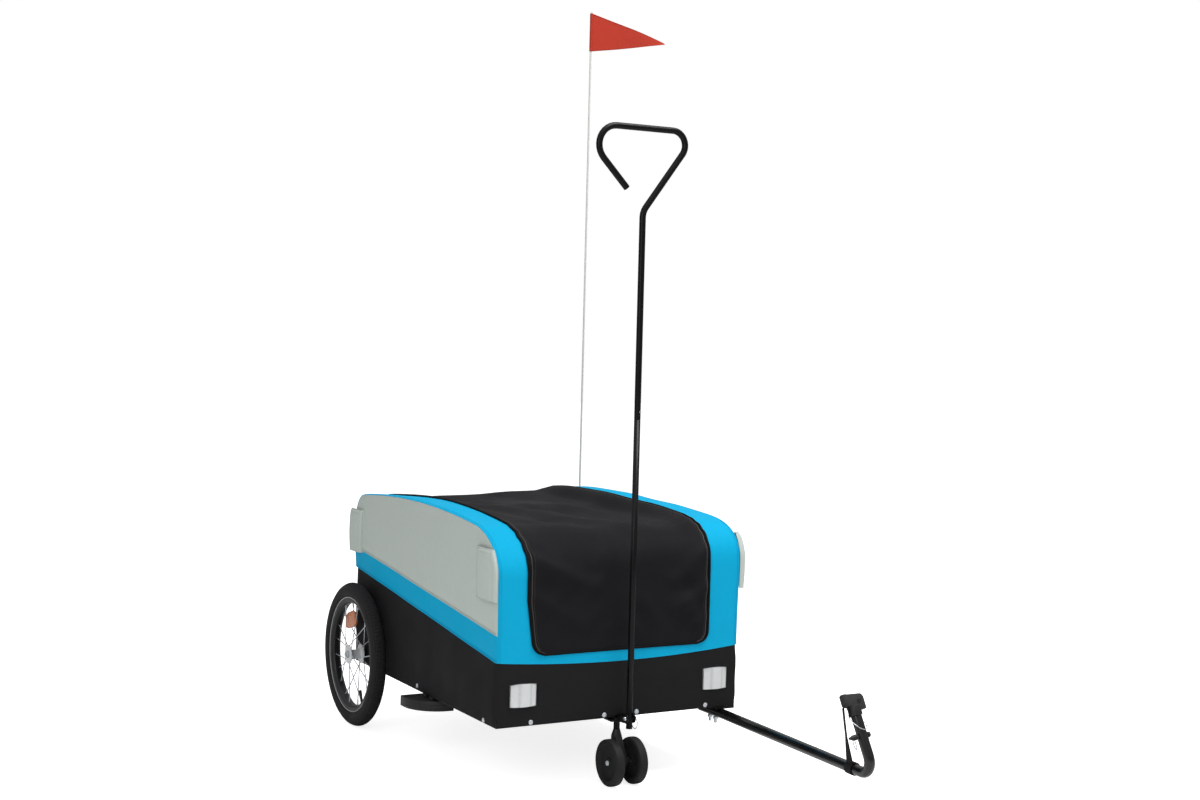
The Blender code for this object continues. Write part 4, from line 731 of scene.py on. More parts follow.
def refine(look, body, slot, nodes, angle=35, bevel=0.0):
    """Smooth copies of frame nodes in their final material."""
    for node in nodes:
        dress(smoothed(node, f"{node}_finished", angle, bevel), look, body, slot, node)


def corner_fall(distance, corner):
    """How far a rounded end lies below the crown, by distance from that end."""
    length, drop = corner
    if distance >= length:
        return 0.0
    return drop * (1 - math.sqrt(max(0.0, 1 - ((length - distance) / length) ** 2)))


def top_z(y):
    """Height of the tub's side outline."""
    crown = CROWN_Z - CROWN_FALL * (y - CROWN_Y) ** 2
    return crown - corner_fall(y, FRONT_CORNER) - corner_fall(LENGTH - y, REAR_CORNER)


def skirt_front_z(x):
    """Upper edge of the skirt on the front face."""
    return SKIRT_TOP_FRONT - SKIRT_TOP_SAG * (1 - (x / HALF) ** 2)


def side_line(y, front, rear):
    """A straight seam along the side."""
    return blend(front, rear, y / LENGTH)


class Route:
    """The tub's outline from the front's foot up, over and down the rear, by share of its length."""

    def __init__(self, front_low, rear_low):
        quarter = math.pi / 2
        steps = 24
        ys = [FRONT_CORNER[0] * (1 - math.cos(quarter * k / steps)) for k in range(steps)]
        ys += [blend(FRONT_CORNER[0], LENGTH - REAR_CORNER[0], k / 40) for k in range(40)]
        ys += [LENGTH - REAR_CORNER[0] * (1 - math.sin(quarter * k / steps)) for k in range(steps + 1)]
        rise = [blend(front_low, top_z(0), k / 30) for k in range(30)]
        fall = [blend(top_z(LENGTH), rear_low, (k + 1) / 20) for k in range(20)]
        points = [(0.0, z) for z in rise] + [(y, top_z(y)) for y in ys] + [(LENGTH, z) for z in fall]
        self.points = [Vector((y, z)) for y, z in points]
        self.reach = [0.0]
        for a, b in zip(self.points, self.points[1:]):
            self.reach.append(self.reach[-1] + (b - a).length)
        self.length = self.reach[-1]

    def place(self, share):
        """(point, outward direction) at a share of the length."""
        wanted = share * self.length
        index = 0
        while index < len(self.reach) - 2 and self.reach[index + 1] < wanted:
            index += 1
        a, b = self.points[index], self.points[index + 1]
        step = max(1e-9, self.reach[index + 1] - self.reach[index])
        ahead = (b - a).normalized()
        return a.lerp(b, (wanted - self.reach[index]) / step), Vector((-ahead.y, ahead.x))


def bulge(x, y, z):
    """How far the cloth stands out of the tub's flat side, most at the right rear corner."""
    settings = bpy.context.scene.trailer_tub
    if x > 0:
        most = settings.bulge * 0.4
    else:
        most = settings.bulge * blend(0.2, 1.0, y / LENGTH)
    return most * math.exp(-((z - BULGE_Z) / BULGE_REACH) ** 2)


def fullness(x, y):
    """How much higher the cloth stands on the trailer's left, where its corners are squarer."""
    if not 0 < y < LENGTH:
        return 0.0
    lift = LEFT_RISE * (ease(0.60, 0.84, y) + 0.4 * ease(0.24, 0.12, y))
    lift -= LEFT_DIP * math.exp(-((y - 0.42) / 0.11) ** 2)
    for distance, (length, drop) in ((y, FRONT_CORNER), (LENGTH - y, REAR_CORNER)):
        away = 1 - distance / length
        if 0 < away < 1:
            round_fall = 1 - math.sqrt(1 - away ** 2)
            square_fall = 1 - (1 - away ** SQUARE) ** (1 / SQUARE)
            lift = blend(lift, 0.0, away ** 4) + drop * (round_fall - square_fall)
    return lift * ease(-0.12, 0.30, x)


def shoulder(distance):
    """How far cloth drawn over a hoop falls back, by distance inside the edge."""
    if distance >= HOOP_BEND:
        return 0.0
    return HOOP_BEND - math.sqrt(HOOP_BEND ** 2 - (HOOP_BEND - distance) ** 2)


def wrinkle(x, y, z, scale, height):
    """Soft irregular rise and fall of cloth."""
    return height * noise.noise(Vector((x, y, z)) * scale)


def on_ribbon(x, route, share, lift=0.0):
    """A place on the front, top or rear cloth: x across, and a share along the tub's outline."""
    point, out = route.place(share)
    depth = shoulder(HALF - abs(x)) - lift
    y, z = point.x - out.x * depth, point.y - out.y * depth
    spread = bulge(x, y, z) * ease(LID_HALF - 0.02, HALF, abs(x))
    dip = RIGHT_DIP * ease(0.42, 0.80, point.x) * ease(0.12, -0.20, x) * ease(HALF - 0.01, LID_HALF, abs(x))
    dip *= ease(REAR_SKIRT_TOP, LID_LOW_REAR + 0.05, point.y)
    return at(x + math.copysign(spread, x), y, z + fullness(x, point.x) - dip)


def lid_half(z, side, low):
    """Half width of the lid at a height on its front or rear face."""
    half = LID_HALF
    front = low == LID_LOW_FRONT
    start, taper = LID_TAPER
    if front and side > 0:
        half -= LEFT_INSET
    elif front and z < start:
        half -= taper * (start - max(z, low)) / (start - low)
    away = LID_CORNER - max(0.0, min(LID_CORNER, z - low))
    return half - LID_CORNER + math.sqrt(LID_CORNER ** 2 - away ** 2)


class TRAILER_OT_stage(bpy.types.Operator):
    """Floor, light and the camera at the photograph's angle."""

    bl_idname = "trailer.stage"
    bl_label = "Stage"

    def execute(self, context):
        settings = context.scene.trailer_stage
        context.scene.view_settings.view_transform = "Standard"
        deselect()
        bpy.ops.mesh.primitive_plane_add(size=40, location=(0, 0, -0.0005))
        floor = named(context.object, "floor")
        look, tree, _ = start_look("matt white floor", linear("#F4F4F4"), roughness=0.9,
                                   specular_ior_level=0.1)
        _, seen = seen_by_camera(tree)
        lifted = calculate(tree, "MULTIPLY", seen, FLOOR_GLOW)
        glow = add(tree, "Emission", {"Color": (1, 1, 1, 1), "Strength": lifted})
        both = add(tree, "AddShader", {0: tree.nodes["Principled BSDF"].outputs[0], 1: glow.outputs[0]})
        tree.links.new(both.outputs[0], tree.nodes["Material Output"].inputs["Surface"])
        floor.data.materials.append(look)

        world = bpy.data.worlds.new("white surround")
        context.scene.world = world
        world.use_nodes = True
        tree = world.node_tree
        rays, seen = seen_by_camera(tree)
        # Mirrored in glossy things the surround is dim at the horizon and bright overhead
        ahead = add(tree, "SeparateXYZ", {0: add(tree, "TexCoord", {}).outputs["Generated"]})
        mirror = ranged(tree, ahead.outputs["Z"], 0.2, 0.8, 0.26, 0.9)
        lit = ranged(tree, rays["Is Glossy Ray"], 0.0, 1.0, settings.ambient, mirror)
        tree.nodes["Background"].inputs["Color"].default_value = (1, 1, 1, 1)
        tree.links.new(calculate(tree, "MAXIMUM", seen, lit), tree.nodes["Background"].inputs["Strength"])

        for name, place, width, power in (("key", (0.7, -1.2, 4.5), 2.4, settings.key),
                                          ("fill", (-3.4, -2.6, 2.2), 2.2, settings.key * 0.25)):
            bpy.ops.object.light_add(type="AREA", location=place)
            lamp = context.object
            lamp.name = name
            lamp.data.shape = "DISK"
            lamp.data.size = width
            lamp.data.energy = power
            lamp.rotation_euler = (at(0, 0.45, 0.4) - Vector(place)).to_track_quat("-Z", "Y").to_euler()

        yaw, down, roll = [math.radians(degrees) for degrees in CAMERA_TURN]
        ahead = Vector((math.sin(yaw) * math.cos(down), math.cos(yaw) * math.cos(down), -math.sin(down)))
        level = Vector((math.cos(yaw), -math.sin(yaw), 0))
        above = level.cross(ahead)
        right = level * math.cos(roll) + above * math.sin(roll)
        up = above * math.cos(roll) - level * math.sin(roll)
        bpy.ops.object.camera_add()
        camera = context.object
        camera.name = "photograph_camera"
        camera.data.lens = settings.lens
        camera.data.sensor_width = 36
        camera.data.clip_end = 60
        camera.matrix_world = (Matrix.Translation(at(*CAMERA_PLACE))
                               @ Matrix((right, up, -ahead)).transposed().to_4x4())
        context.scene.camera = camera
        return {"FINISHED"}


class TRAILER_OT_walls(bpy.types.Operator):
    """Cloth walls of the tub: skirt, stripes, side panels, bands and strips."""

    bl_idname = "trailer.walls"
    bl_label = "Tub walls"

    def skirt(self, look):
        """Black skirt all round, its lower hem turned under the rails."""
        corner = HOOP_BEND
        runs = (2 * (HALF - corner), math.pi * corner / 2, LENGTH - 2 * corner, math.pi * corner / 2) * 2
        corners = ((HALF - corner, corner, -90), (HALF - corner, LENGTH - corner, 0),
                   (corner - HALF, LENGTH - corner, 90), (corner - HALF, corner, 180))
        straight = ((corner - HALF, 0, 1, 0), (HALF, corner, 0, 1),
                    (HALF - corner, LENGTH, -1, 0), (-HALF, LENGTH - corner, 0, -1))

        def around(share):
            """(x, y, outward x, outward y) at a share of the way round, from the front's right end."""
            left = share * sum(runs)
            for side, (x, y, ahead_x, ahead_y) in enumerate(straight):
                if left <= runs[2 * side] + 1e-9:
                    return x + ahead_x * left, y + ahead_y * left, ahead_y, -ahead_x
                left -= runs[2 * side]
                if left <= runs[2 * side + 1] + 1e-9:
                    x, y, start = corners[side]
                    angle = math.radians(start) + left / corner
                    out_x, out_y = math.cos(angle), math.sin(angle)
                    return x + corner * out_x, y + corner * out_y, out_x, out_y
                left -= runs[2 * side + 1]
            return corner - HALF, 0.0, 0.0, -1.0

        def place(u, v):
            x, y, out_x, out_y = around(u)
            if y < corner:
                top = skirt_front_z(x)
            elif y > LENGTH - corner:
                top = REAR_SKIRT_TOP
            else:
                top = side_line(y, SKIRT_TOP_FRONT, REAR_SKIRT_TOP)
            if v < HEM_SHARE:
                inward = HEM_DEPTH * (1 - v / HEM_SHARE)
                return at(x - out_x * inward, y - out_y * inward, TRAY_Z - 0.0004)
            rise = (v - HEM_SHARE) / (1 - HEM_SHARE)
            z = blend(TRAY_Z, top, rise)
            swell = 0.0025 * math.sin(math.pi * rise)
            swell += wrinkle(x, y, z * 1.6, 9.0, 0.0022) * ease(0, 0.2, rise)
            swell *= ease(0, 0.25, 1 - rise) * 0.8 + 0.2
            swell *= 1 + 1.2 * ease(0, HALF, x) * ease(0.3, 0.0, y)
            return at(x + out_x * swell, y + out_y * swell, z)

        piece, flat = cloth("skirt_cloth", place, 220, 22, closed=True)
        dress(piece, look, "chassis", "black_polyester", "lower_skirt")

    def side(self, side, sign, blue, grey):
        """Blue stripe and grey panel of one side."""
        ends = (EDGE_STEP, LENGTH - EDGE_STEP)
        crest = Route(*STRIPE_TOP)
        first = (top_z(0) - STRIPE_TOP[0]) / crest.length
        last = 1 - (top_z(LENGTH) - STRIPE_TOP[1]) / crest.length

        def edge_distance(y, z):
            return min((point - Vector((y, z))).length for point in crest.points)

        def wall(y, z, near):
            loose = wrinkle(sign, y, z, 5.0, 0.0022) * ease(EDGE_STEP, 0.05, near)
            return at(sign * (HALF + bulge(sign, y, z) - shoulder(near) + loose), y, z)

        def stripe(u, v):
            y = blend(ends[0], ends[1], u if sign > 0 else 1 - u)
            low = side_line(y, SKIRT_TOP_FRONT, REAR_SKIRT_TOP)
            z = blend(low, side_line(y, *STRIPE_TOP), v)
            return wall(y, z, min(y, LENGTH - y))

        def panel(u, v):
            point, out = crest.place(blend(first, last, u if sign > 0 else 1 - u))
            tip = point - out * EDGE_STEP
            y = min(max(tip.x, ends[0]), ends[1])
            z = blend(side_line(y, *STRIPE_TOP), tip.y, v ** 0.6)
            spot = wall(y, z, edge_distance(y, z))
            spot.z += fullness(sign * HALF, point.x) * v
            return spot

        for name, rule, look, slot, rows in ((f"{side}_stripe_cloth", stripe, blue, "blue_polyester", 6),
                                             (f"{side}_panel_cloth", panel, grey, "grey_polyester", 26)):
            piece, flat = cloth(name, rule, 90, rows)
            node = name.replace("_cloth", "").replace(f"{side}_", f"{side}_side_")
            dress(piece, look, "chassis", slot, node)
            area = one_side(piece)
            max(flat[1], area / LENGTH)

        proud = Vector((sign * bpy.context.scene.trailer_tub.cord * 0.4, 0, 0))
        for name, line, look, thread in (("skirt", (SKIRT_TOP_FRONT, REAR_SKIRT_TOP), blue, self.blue_thread),
                                         ("stripe", STRIPE_TOP, grey, self.grey_thread)):
            path = []
            for k in range(121):
                y = blend(*ends, k / 120)
                path.append(wall(y, side_line(y, *line), min(y, LENGTH - y)) + proud)
            self.seam(f"{side}_{name}_seam", path, look)
            self.stitching(f"{side}_{name}_stitches", path, Vector((sign * 0.0004, 0, 0.0042)), thread)

    def seam(self, name, path, look):
        """Folded seam: a thin cord of the cloth along a path."""
        cord = tubes(name, [path], bpy.context.scene.trailer_tub.cord, 8)
        dress(cord, look, "chassis", "blue_polyester")

    def stitching(self, name, path, move, thread):
        """A row of lockstitches beside a seam."""
        rows = tubes(name, stitches([point + move for point in path]), THREAD, 4)
        dress(rows, thread, "chassis", "grey_polyester")

    def band(self, side, sign, look):
        """Blue band up the front, over the hoop and down the rear."""
        route = Route(SKIRT_TOP_FRONT, REAR_SKIRT_TOP)

        def place(u, v):
            point, _ = route.place(v)
            edge = LID_HALF
            if point.x < 0.02:
                edge = lid_half(point.y, sign, LID_LOW_FRONT)
            elif point.x > LENGTH - 0.02:
                edge = lid_half(point.y, sign, LID_LOW_REAR)
            elif sign > 0:
                edge -= LEFT_INSET * ease(0.35, 0.0, point.x)
            inner = edge - 0.006
            outer = HALF - EDGE_STEP
            x = blend(inner, outer, (u if sign > 0 else 1 - u) ** 0.8)
            lift = wrinkle(x * sign, point.x, point.y, 6.0, 0.0014) * ease(outer, outer - 0.03, x)
            lift -= 0.003 * ease(edge + 0.004, inner, x)
            spot = on_ribbon(sign * x, route, v, lift)
            if v == 0.0:
                spot.z = skirt_front_z(x)
            return spot

        piece, flat = cloth(f"{side}_band_cloth", place, 14, 130)
        dress(piece, look, "chassis", "blue_polyester", f"{side}_band")
        one_side(piece)
        edge = [on_ribbon(sign * (HALF - EDGE_STEP), route, k / 260, 0.0004) for k in range(261)]
        self.seam(f"{side}_band_seam", edge, look)
        inside = [on_ribbon(sign * (HALF - 0.0085), route, k / 260, 0.0003) for k in range(261)]
        self.stitching(f"{side}_band_stitches", inside, Vector(), self.blue_thread)

    def strip(self, name, y, outward, low, high, look):
        """Blue cloth under the lid's lower edge."""
        def place(u, v):
            x = blend(-LID_HALF, LID_HALF, u if outward < 0 else 1 - u)
            z = blend(low(x), high + 0.006, v)
            stand = wrinkle(x, y, z, 6.0, 0.0010) - 0.003 * ease(high - 0.004, high + 0.006, z)
            return at(x, y + outward * stand, z)

        piece, flat = cloth(f"{name}_cloth", place, 60, 5)
        dress(piece, look, "chassis", "blue_polyester", name)

    def execute(self, context):
        settings = context.scene.trailer_tub
        black, blue, grey = [coated_polyester(f"{name} coated polyester", getattr(settings, name),
                                              settings.thread) for name in ("black", "blue", "grey")]
        self.grey_thread = sewing_thread("grey sewing thread", settings.grey)
        self.blue_thread = sewing_thread("blue sewing thread", settings.blue)
        self.skirt(black)
        for side, sign in SIDES:
            self.side(side, sign, blue, grey)
            self.band(side, sign, blue)
        self.strip("front_strip", 0.0, -1, skirt_front_z, LID_LOW_FRONT, blue)
        self.strip("rear_strip", LENGTH, 1, lambda x: REAR_SKIRT_TOP, LID_LOW_REAR, blue)
        return {"FINISHED"}


class TRAILER_OT_lid(bpy.types.Operator):
    """Black cloth lid that hangs between the bands, with piping round its edge."""

    bl_idname = "trailer.lid"
    bl_label = "Lid"

    def execute(self, context):
        settings = context.scene.trailer_lid
        look = coated_polyester("lid polyester", settings.black, context.scene.trailer_tub.thread, 0.48, 0.02)
        route = Route(LID_LOW_FRONT, LID_LOW_REAR)
        front_top = (top_z(0) - LID_LOW_FRONT) / route.length
        rear_top = 1 - (top_z(LENGTH) - LID_LOW_REAR) / route.length

        def half(share, side):
            point, _ = route.place(share)
            if share < front_top:
                return lid_half(point.y, side, LID_LOW_FRONT)
            if share > rear_top:
                return lid_half(point.y, side, LID_LOW_REAR)
            settle_in = LEFT_INSET * (1 - ease(front_top, front_top + 0.25, share)) if side > 0 else 0.0
            near_bend = math.exp(-((share - front_top - 0.09) / 0.07) ** 2)
            return LID_HALF - settle_in + 0.0014 * near_bend * math.sin(share * route.length * 150)

        def front_folds(rise, a):
            """Ridges that run down from the front's upper corners, above a straighter lower half."""
            up = min(1.0, rise / (top_z(0) - LID_LOW_FRONT))
            spot = Vector((LID_HALF * a, rise))
            depth = wrinkle(a * 1.3, up * 1.1 + 0.8 * abs(a), 4.0, 3.0, settings.fold * 1.4)
            for start, end, width, height in FRONT_FOLDS:
                start, end = Vector(start), Vector(end)
                run = (spot - start).dot(end - start) / (end - start).length_squared
                away = (spot - start.lerp(end, run)).length / width
                ridge = settings.fold * height * math.exp(-away ** 2)
                depth -= ridge * ease(-0.1, 0.2, run) * ease(1.2, 0.5, run)
            depth *= ease(0.0, 0.07, 1 - abs(a)) * ease(0.0, 0.25, up)
            return depth + (1 - a * a) * (0.002 + 0.032 * max(0.0, up - 0.42) ** 1.4)

        def depth(share, a):
            """How far the lid lies inside the outline."""
            flat = 1.1 * ease(0.96, 0.76, a) if a > 0.5 else (1 - abs(a) ** 4.5) * (1 + 0.2 * a)
            point, _ = route.place(share)
            rise = share * route.length
            if share < front_top:
                return front_folds(rise, a)
            if share > rear_top:
                down = (top_z(LENGTH) - point.y) / (top_z(LENGTH) - LID_LOW_REAR)
                return flat * settings.sag * 0.72 * OVER_CROSSBAR * (1 - 0.9 * down)
            place = (share - front_top) / (rear_top - front_top)
            bow = math.sin(math.pi * place)
            slack = settings.sag * (0.72 + 0.28 * bow) * ease(-0.02, 0.35, place) * flat
            slack *= blend(1.0, OVER_CROSSBAR, ease(0.80, 0.99, place))
            folds = settings.fold * 0.8 * math.sin(a * 8.0 + place * 15.0) * bow
            folds += wrinkle(a, place * 2.2, 0.0, 3.5, settings.fold * 1.4) * bow
            return slack + (1 - a * a) * folds + front_folds(rise, a) * ease(0.18, 0.02, place)

        def place(u, v):
            a = 2 * u - 1
            x = half(v, 1 if a > 0 else -1) * a
            return on_ribbon(x, route, v, 0.0018 - depth(v, a))

        piece, flat = cloth("lid_cloth", place, 72, 170, thickness=0.002)
        dress(piece, look, "lid", "black_polyester", "cover")
        area = one_side(piece)
        max(flat[1], area / (2 * LID_HALF))

        def lines(wide, lift):
            """One line down each side at a share of the lid's width."""
            return [[place(u, k / 240) + Vector((0, 0, lift)) for k in range(241)] for u in (1 - wide, wide)]

        cord = tubes("lid_piping", [round_edge(place, 60, 240)], settings.piping, 8, closed=True)
        dress(cord, surface("piping", settings.binding, 0.62, 0.08, 0.0012, 0.0002, specular_ior_level=0.1),
              "lid", "black_polyester")
        # The zip tape and the stitches on it are lighter than the lid: a painted highlight along the side
        # seams.
        tape = surface("zip tape", settings.seam, 0.6, 0.1, 0.0012, 0.0003)
        dress(tubes("lid_zip_tape_painted_highlight", lines(LID_TAPE, 0.0006), 0.0011, 8), tape, "lid", "black_polyester")
        dashes = [dash for line in lines(LID_STITCHES, 0.0004) for dash in stitches(line)]
        dress(tubes("lid_stitches", dashes, THREAD, 4), tape, "lid", "black_polyester")
        return {"FINISHED"}


class TRAILER_OT_pockets(bpy.types.Operator):
    """Grey sewn pockets on the sides, near the tub's corners."""

    bl_idname = "trailer.pockets"
    bl_label = "Corner pockets"

    def pocket(self, end, side, sign, edges, section, looks):
        """One pocket: edges gives its front and rear y at a height, section how far it stands out."""
        node = f"{end}_{side}_flap"
        low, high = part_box(node)

        def place(u, v):
            z = blend(low.z, high.z, v)
            front, rear = edges(z)
            along = u if sign > 0 else 1 - u
            stand = through(section, along) * through(POCKET_FILL, v)
            y = blend(front, rear, through(((0.0, 0.0), (0.06, 0.0), (1.0, 1.0)), along))
            stand += wrinkle(sign, y, z, 30.0, 0.0006)
            lift = fullness(sign * HALF, max(y, 0.03)) * v if y < HALF else 0.0
            return at(sign * (HALF + bulge(sign, y, z) + 0.0006 + stand), y, z + lift)

        cloth_look, thread = looks
        piece, flat = cloth(f"{node}_cloth", place, 30, 24, 0.0014)
        dress(piece, cloth_look, "chassis", "grey_polyester", node)
        area = one_side(piece)
        edge = round_edge(lambda u, v: place(1 - u, v), 30, 30)
        binding = tubes(f"{node}_binding", [edge], 0.0011, 8, closed=True)
        dress(binding, cloth_look, "chassis", "grey_polyester")
        out = Vector((sign * 0.0003, 0, 0))
        rows = [[place(u, v / 40) + out for v in range(2, 39)] for u in (0.10, 0.86)]
        rows.append([place(u / 40, 0.93) + out for u in range(4, 35)])
        dashes = [dash for row in rows for dash in stitches(row)]
        dress(tubes(f"{node}_stitches", dashes, THREAD, 4), thread, "chassis", "grey_polyester")

    def execute(self, context):
        settings = context.scene.trailer_tub
        looks = (coated_polyester("pocket polyester", settings.grey, settings.thread),
                 sewing_thread("pocket thread", settings.grey))
        for side, sign in SIDES:
            self.pocket("rear", side, sign, lambda z: (LENGTH - 0.064, LENGTH + 0.012), POCKET_REAR, looks)
            self.pocket("front", side, sign, self.front_edges, POCKET_FRONT[side], looks)
        return {"FINISHED"}

    def front_edges(self, z):
        """Front and rear y of a front pocket, whose front edge follows the tub's round corner."""
        length, drop = FRONT_CORNER
        above = 1 - max(0.0, min(1.0, (CROWN_Z - CROWN_FALL * CROWN_Y ** 2 - z) / drop))
        return 0.001 + 0.7 * length * (1 - math.sqrt(1 - above ** 2)), 0.118


class TRAILER_OT_lamps(bpy.types.Operator):
    """Clear reflectors in front and red ones behind, each with two facets that meet in a ridge."""

    bl_idname = "trailer.lamps"
    bl_label = "Corner reflectors"

    def execute(self, context):
        width, depth, height = LAMP
        case = moulded_plastic(context.scene.trailer_metal.plastic)
        ends = (("front", -1, prism_plastic("clear acrylic reflector", linear("#E6E9E9")), "clear_reflector"),
                ("rear", 1, prism_plastic("red acrylic reflector", linear("#B3171A")), "red_reflector"))
        for end, out, look, slot in ends:
            for side, _ in SIDES:
                centre = middle(f"{end}_{side}_reflector")
                pieces = []
                for name, grow, back in (("lens", 1.0, 0.0), ("rim", 1.05, depth * 0.62)):
                    deselect()
                    bpy.ops.mesh.primitive_cube_add(size=1)
                    piece = named(context.object, f"{end}_{side}_reflector_{name}")
                    edit(piece)
                    bpy.ops.mesh.subdivide(number_cuts=7)
                    bpy.ops.object.mode_set(mode="OBJECT")
                    for vertex in piece.data.vertices:
                        u, v, w = vertex.co.x, vertex.co.y * out, vertex.co.z
                        reach = (u - LAMP_RIDGE) / (math.copysign(0.5, u - LAMP_RIDGE) - LAMP_RIDGE)
                        stand = v * (depth - back) - back / 2
                        if v > 0.49 and not back:
                            stand -= 0.0036 * reach
                        lift = 1 + 0.07 * (1 - 4 * u * u)
                        vertex.co = (u * width * grow, stand * out, w * height * grow * lift)
                    bevelled(piece, 0.0014, 50)
                    piece.data.transform(Matrix.Translation(centre))
                    pieces.append(settle(piece, 25))
                dress(pieces[0], look, "chassis", slot, f"{end}_{side}_reflector")
                dress(pieces[1], case, "chassis", "black_plastic")
        return {"FINISHED"}


class TRAILER_OT_base(bpy.types.Operator):
    """Welded base frame, hoops, axle tube, brackets, floor board, and the bolts that hold the skirt."""

    bl_idname = "trailer.base"
    bl_label = "Base frame"

    def execute(self, context):
        settings = context.scene.trailer_metal
        coat = powder_coat(settings.coat)
        refine(coat, "chassis", "black_steel", ("base_frame", "caster_bracket"), 35, 0.0009)
        refine(coat, "chassis", "black_steel", ("handle_bracket", "drawbar_bracket"), 35, 0.0004)
        refine(coat, "chassis", "black_steel", ("axle_tube", "right_hoop", "rear_crossbar"), 50)
        hoop = smoothed("left_hoop", "left_hoop_finished", 50)
        for vertex in hoop.data.vertices:
            x, y, z = vertex.co
            vertex.co.z += fullness(x - MIDDLE_X, y - FRONT_Y) * ease(0.30, 0.45, z)
        dress(hoop, coat, "chassis", "black_steel", "left_hoop")
        refine(phenolic_board(linear("#2A211B")), "chassis", "black_plastic", ("floor_board",), 35, 0.0006)

        scale = settings.bolt / BOLT_RADIUS
        section = [(radius * scale, stand) for radius, stand in BOLT_SECTION]
        bolt = settle(turned("skirt_bolt", section, 20, (0, 0, 0), "Z"), 40)
        spots = [(Vector((0, out, 0)), at(x, y, TRAY_Z + 0.009)) for x in (-0.249, -0.046, 0.046, 0.249)
                 for out, y in ((-1, 0), (1, LENGTH))]
        spots += [(Vector((sign, 0, 0)), at(sign * HALF, y, z)) for _, sign in SIDES
                  for y, z in ((0.065, 0.175), (0.469, 0.180), (0.700, 0.180))]
        bolts = [copied(bolt, "skirt_bolt_copy", facing(spot + out * 0.0008, out)) for out, spot in spots]
        bpy.data.objects.remove(bolt)
        dress(joined(bolts, "skirt_bolts"), passivated_zinc(settings.zinc), "chassis", "zinc")
        return {"FINISHED"}


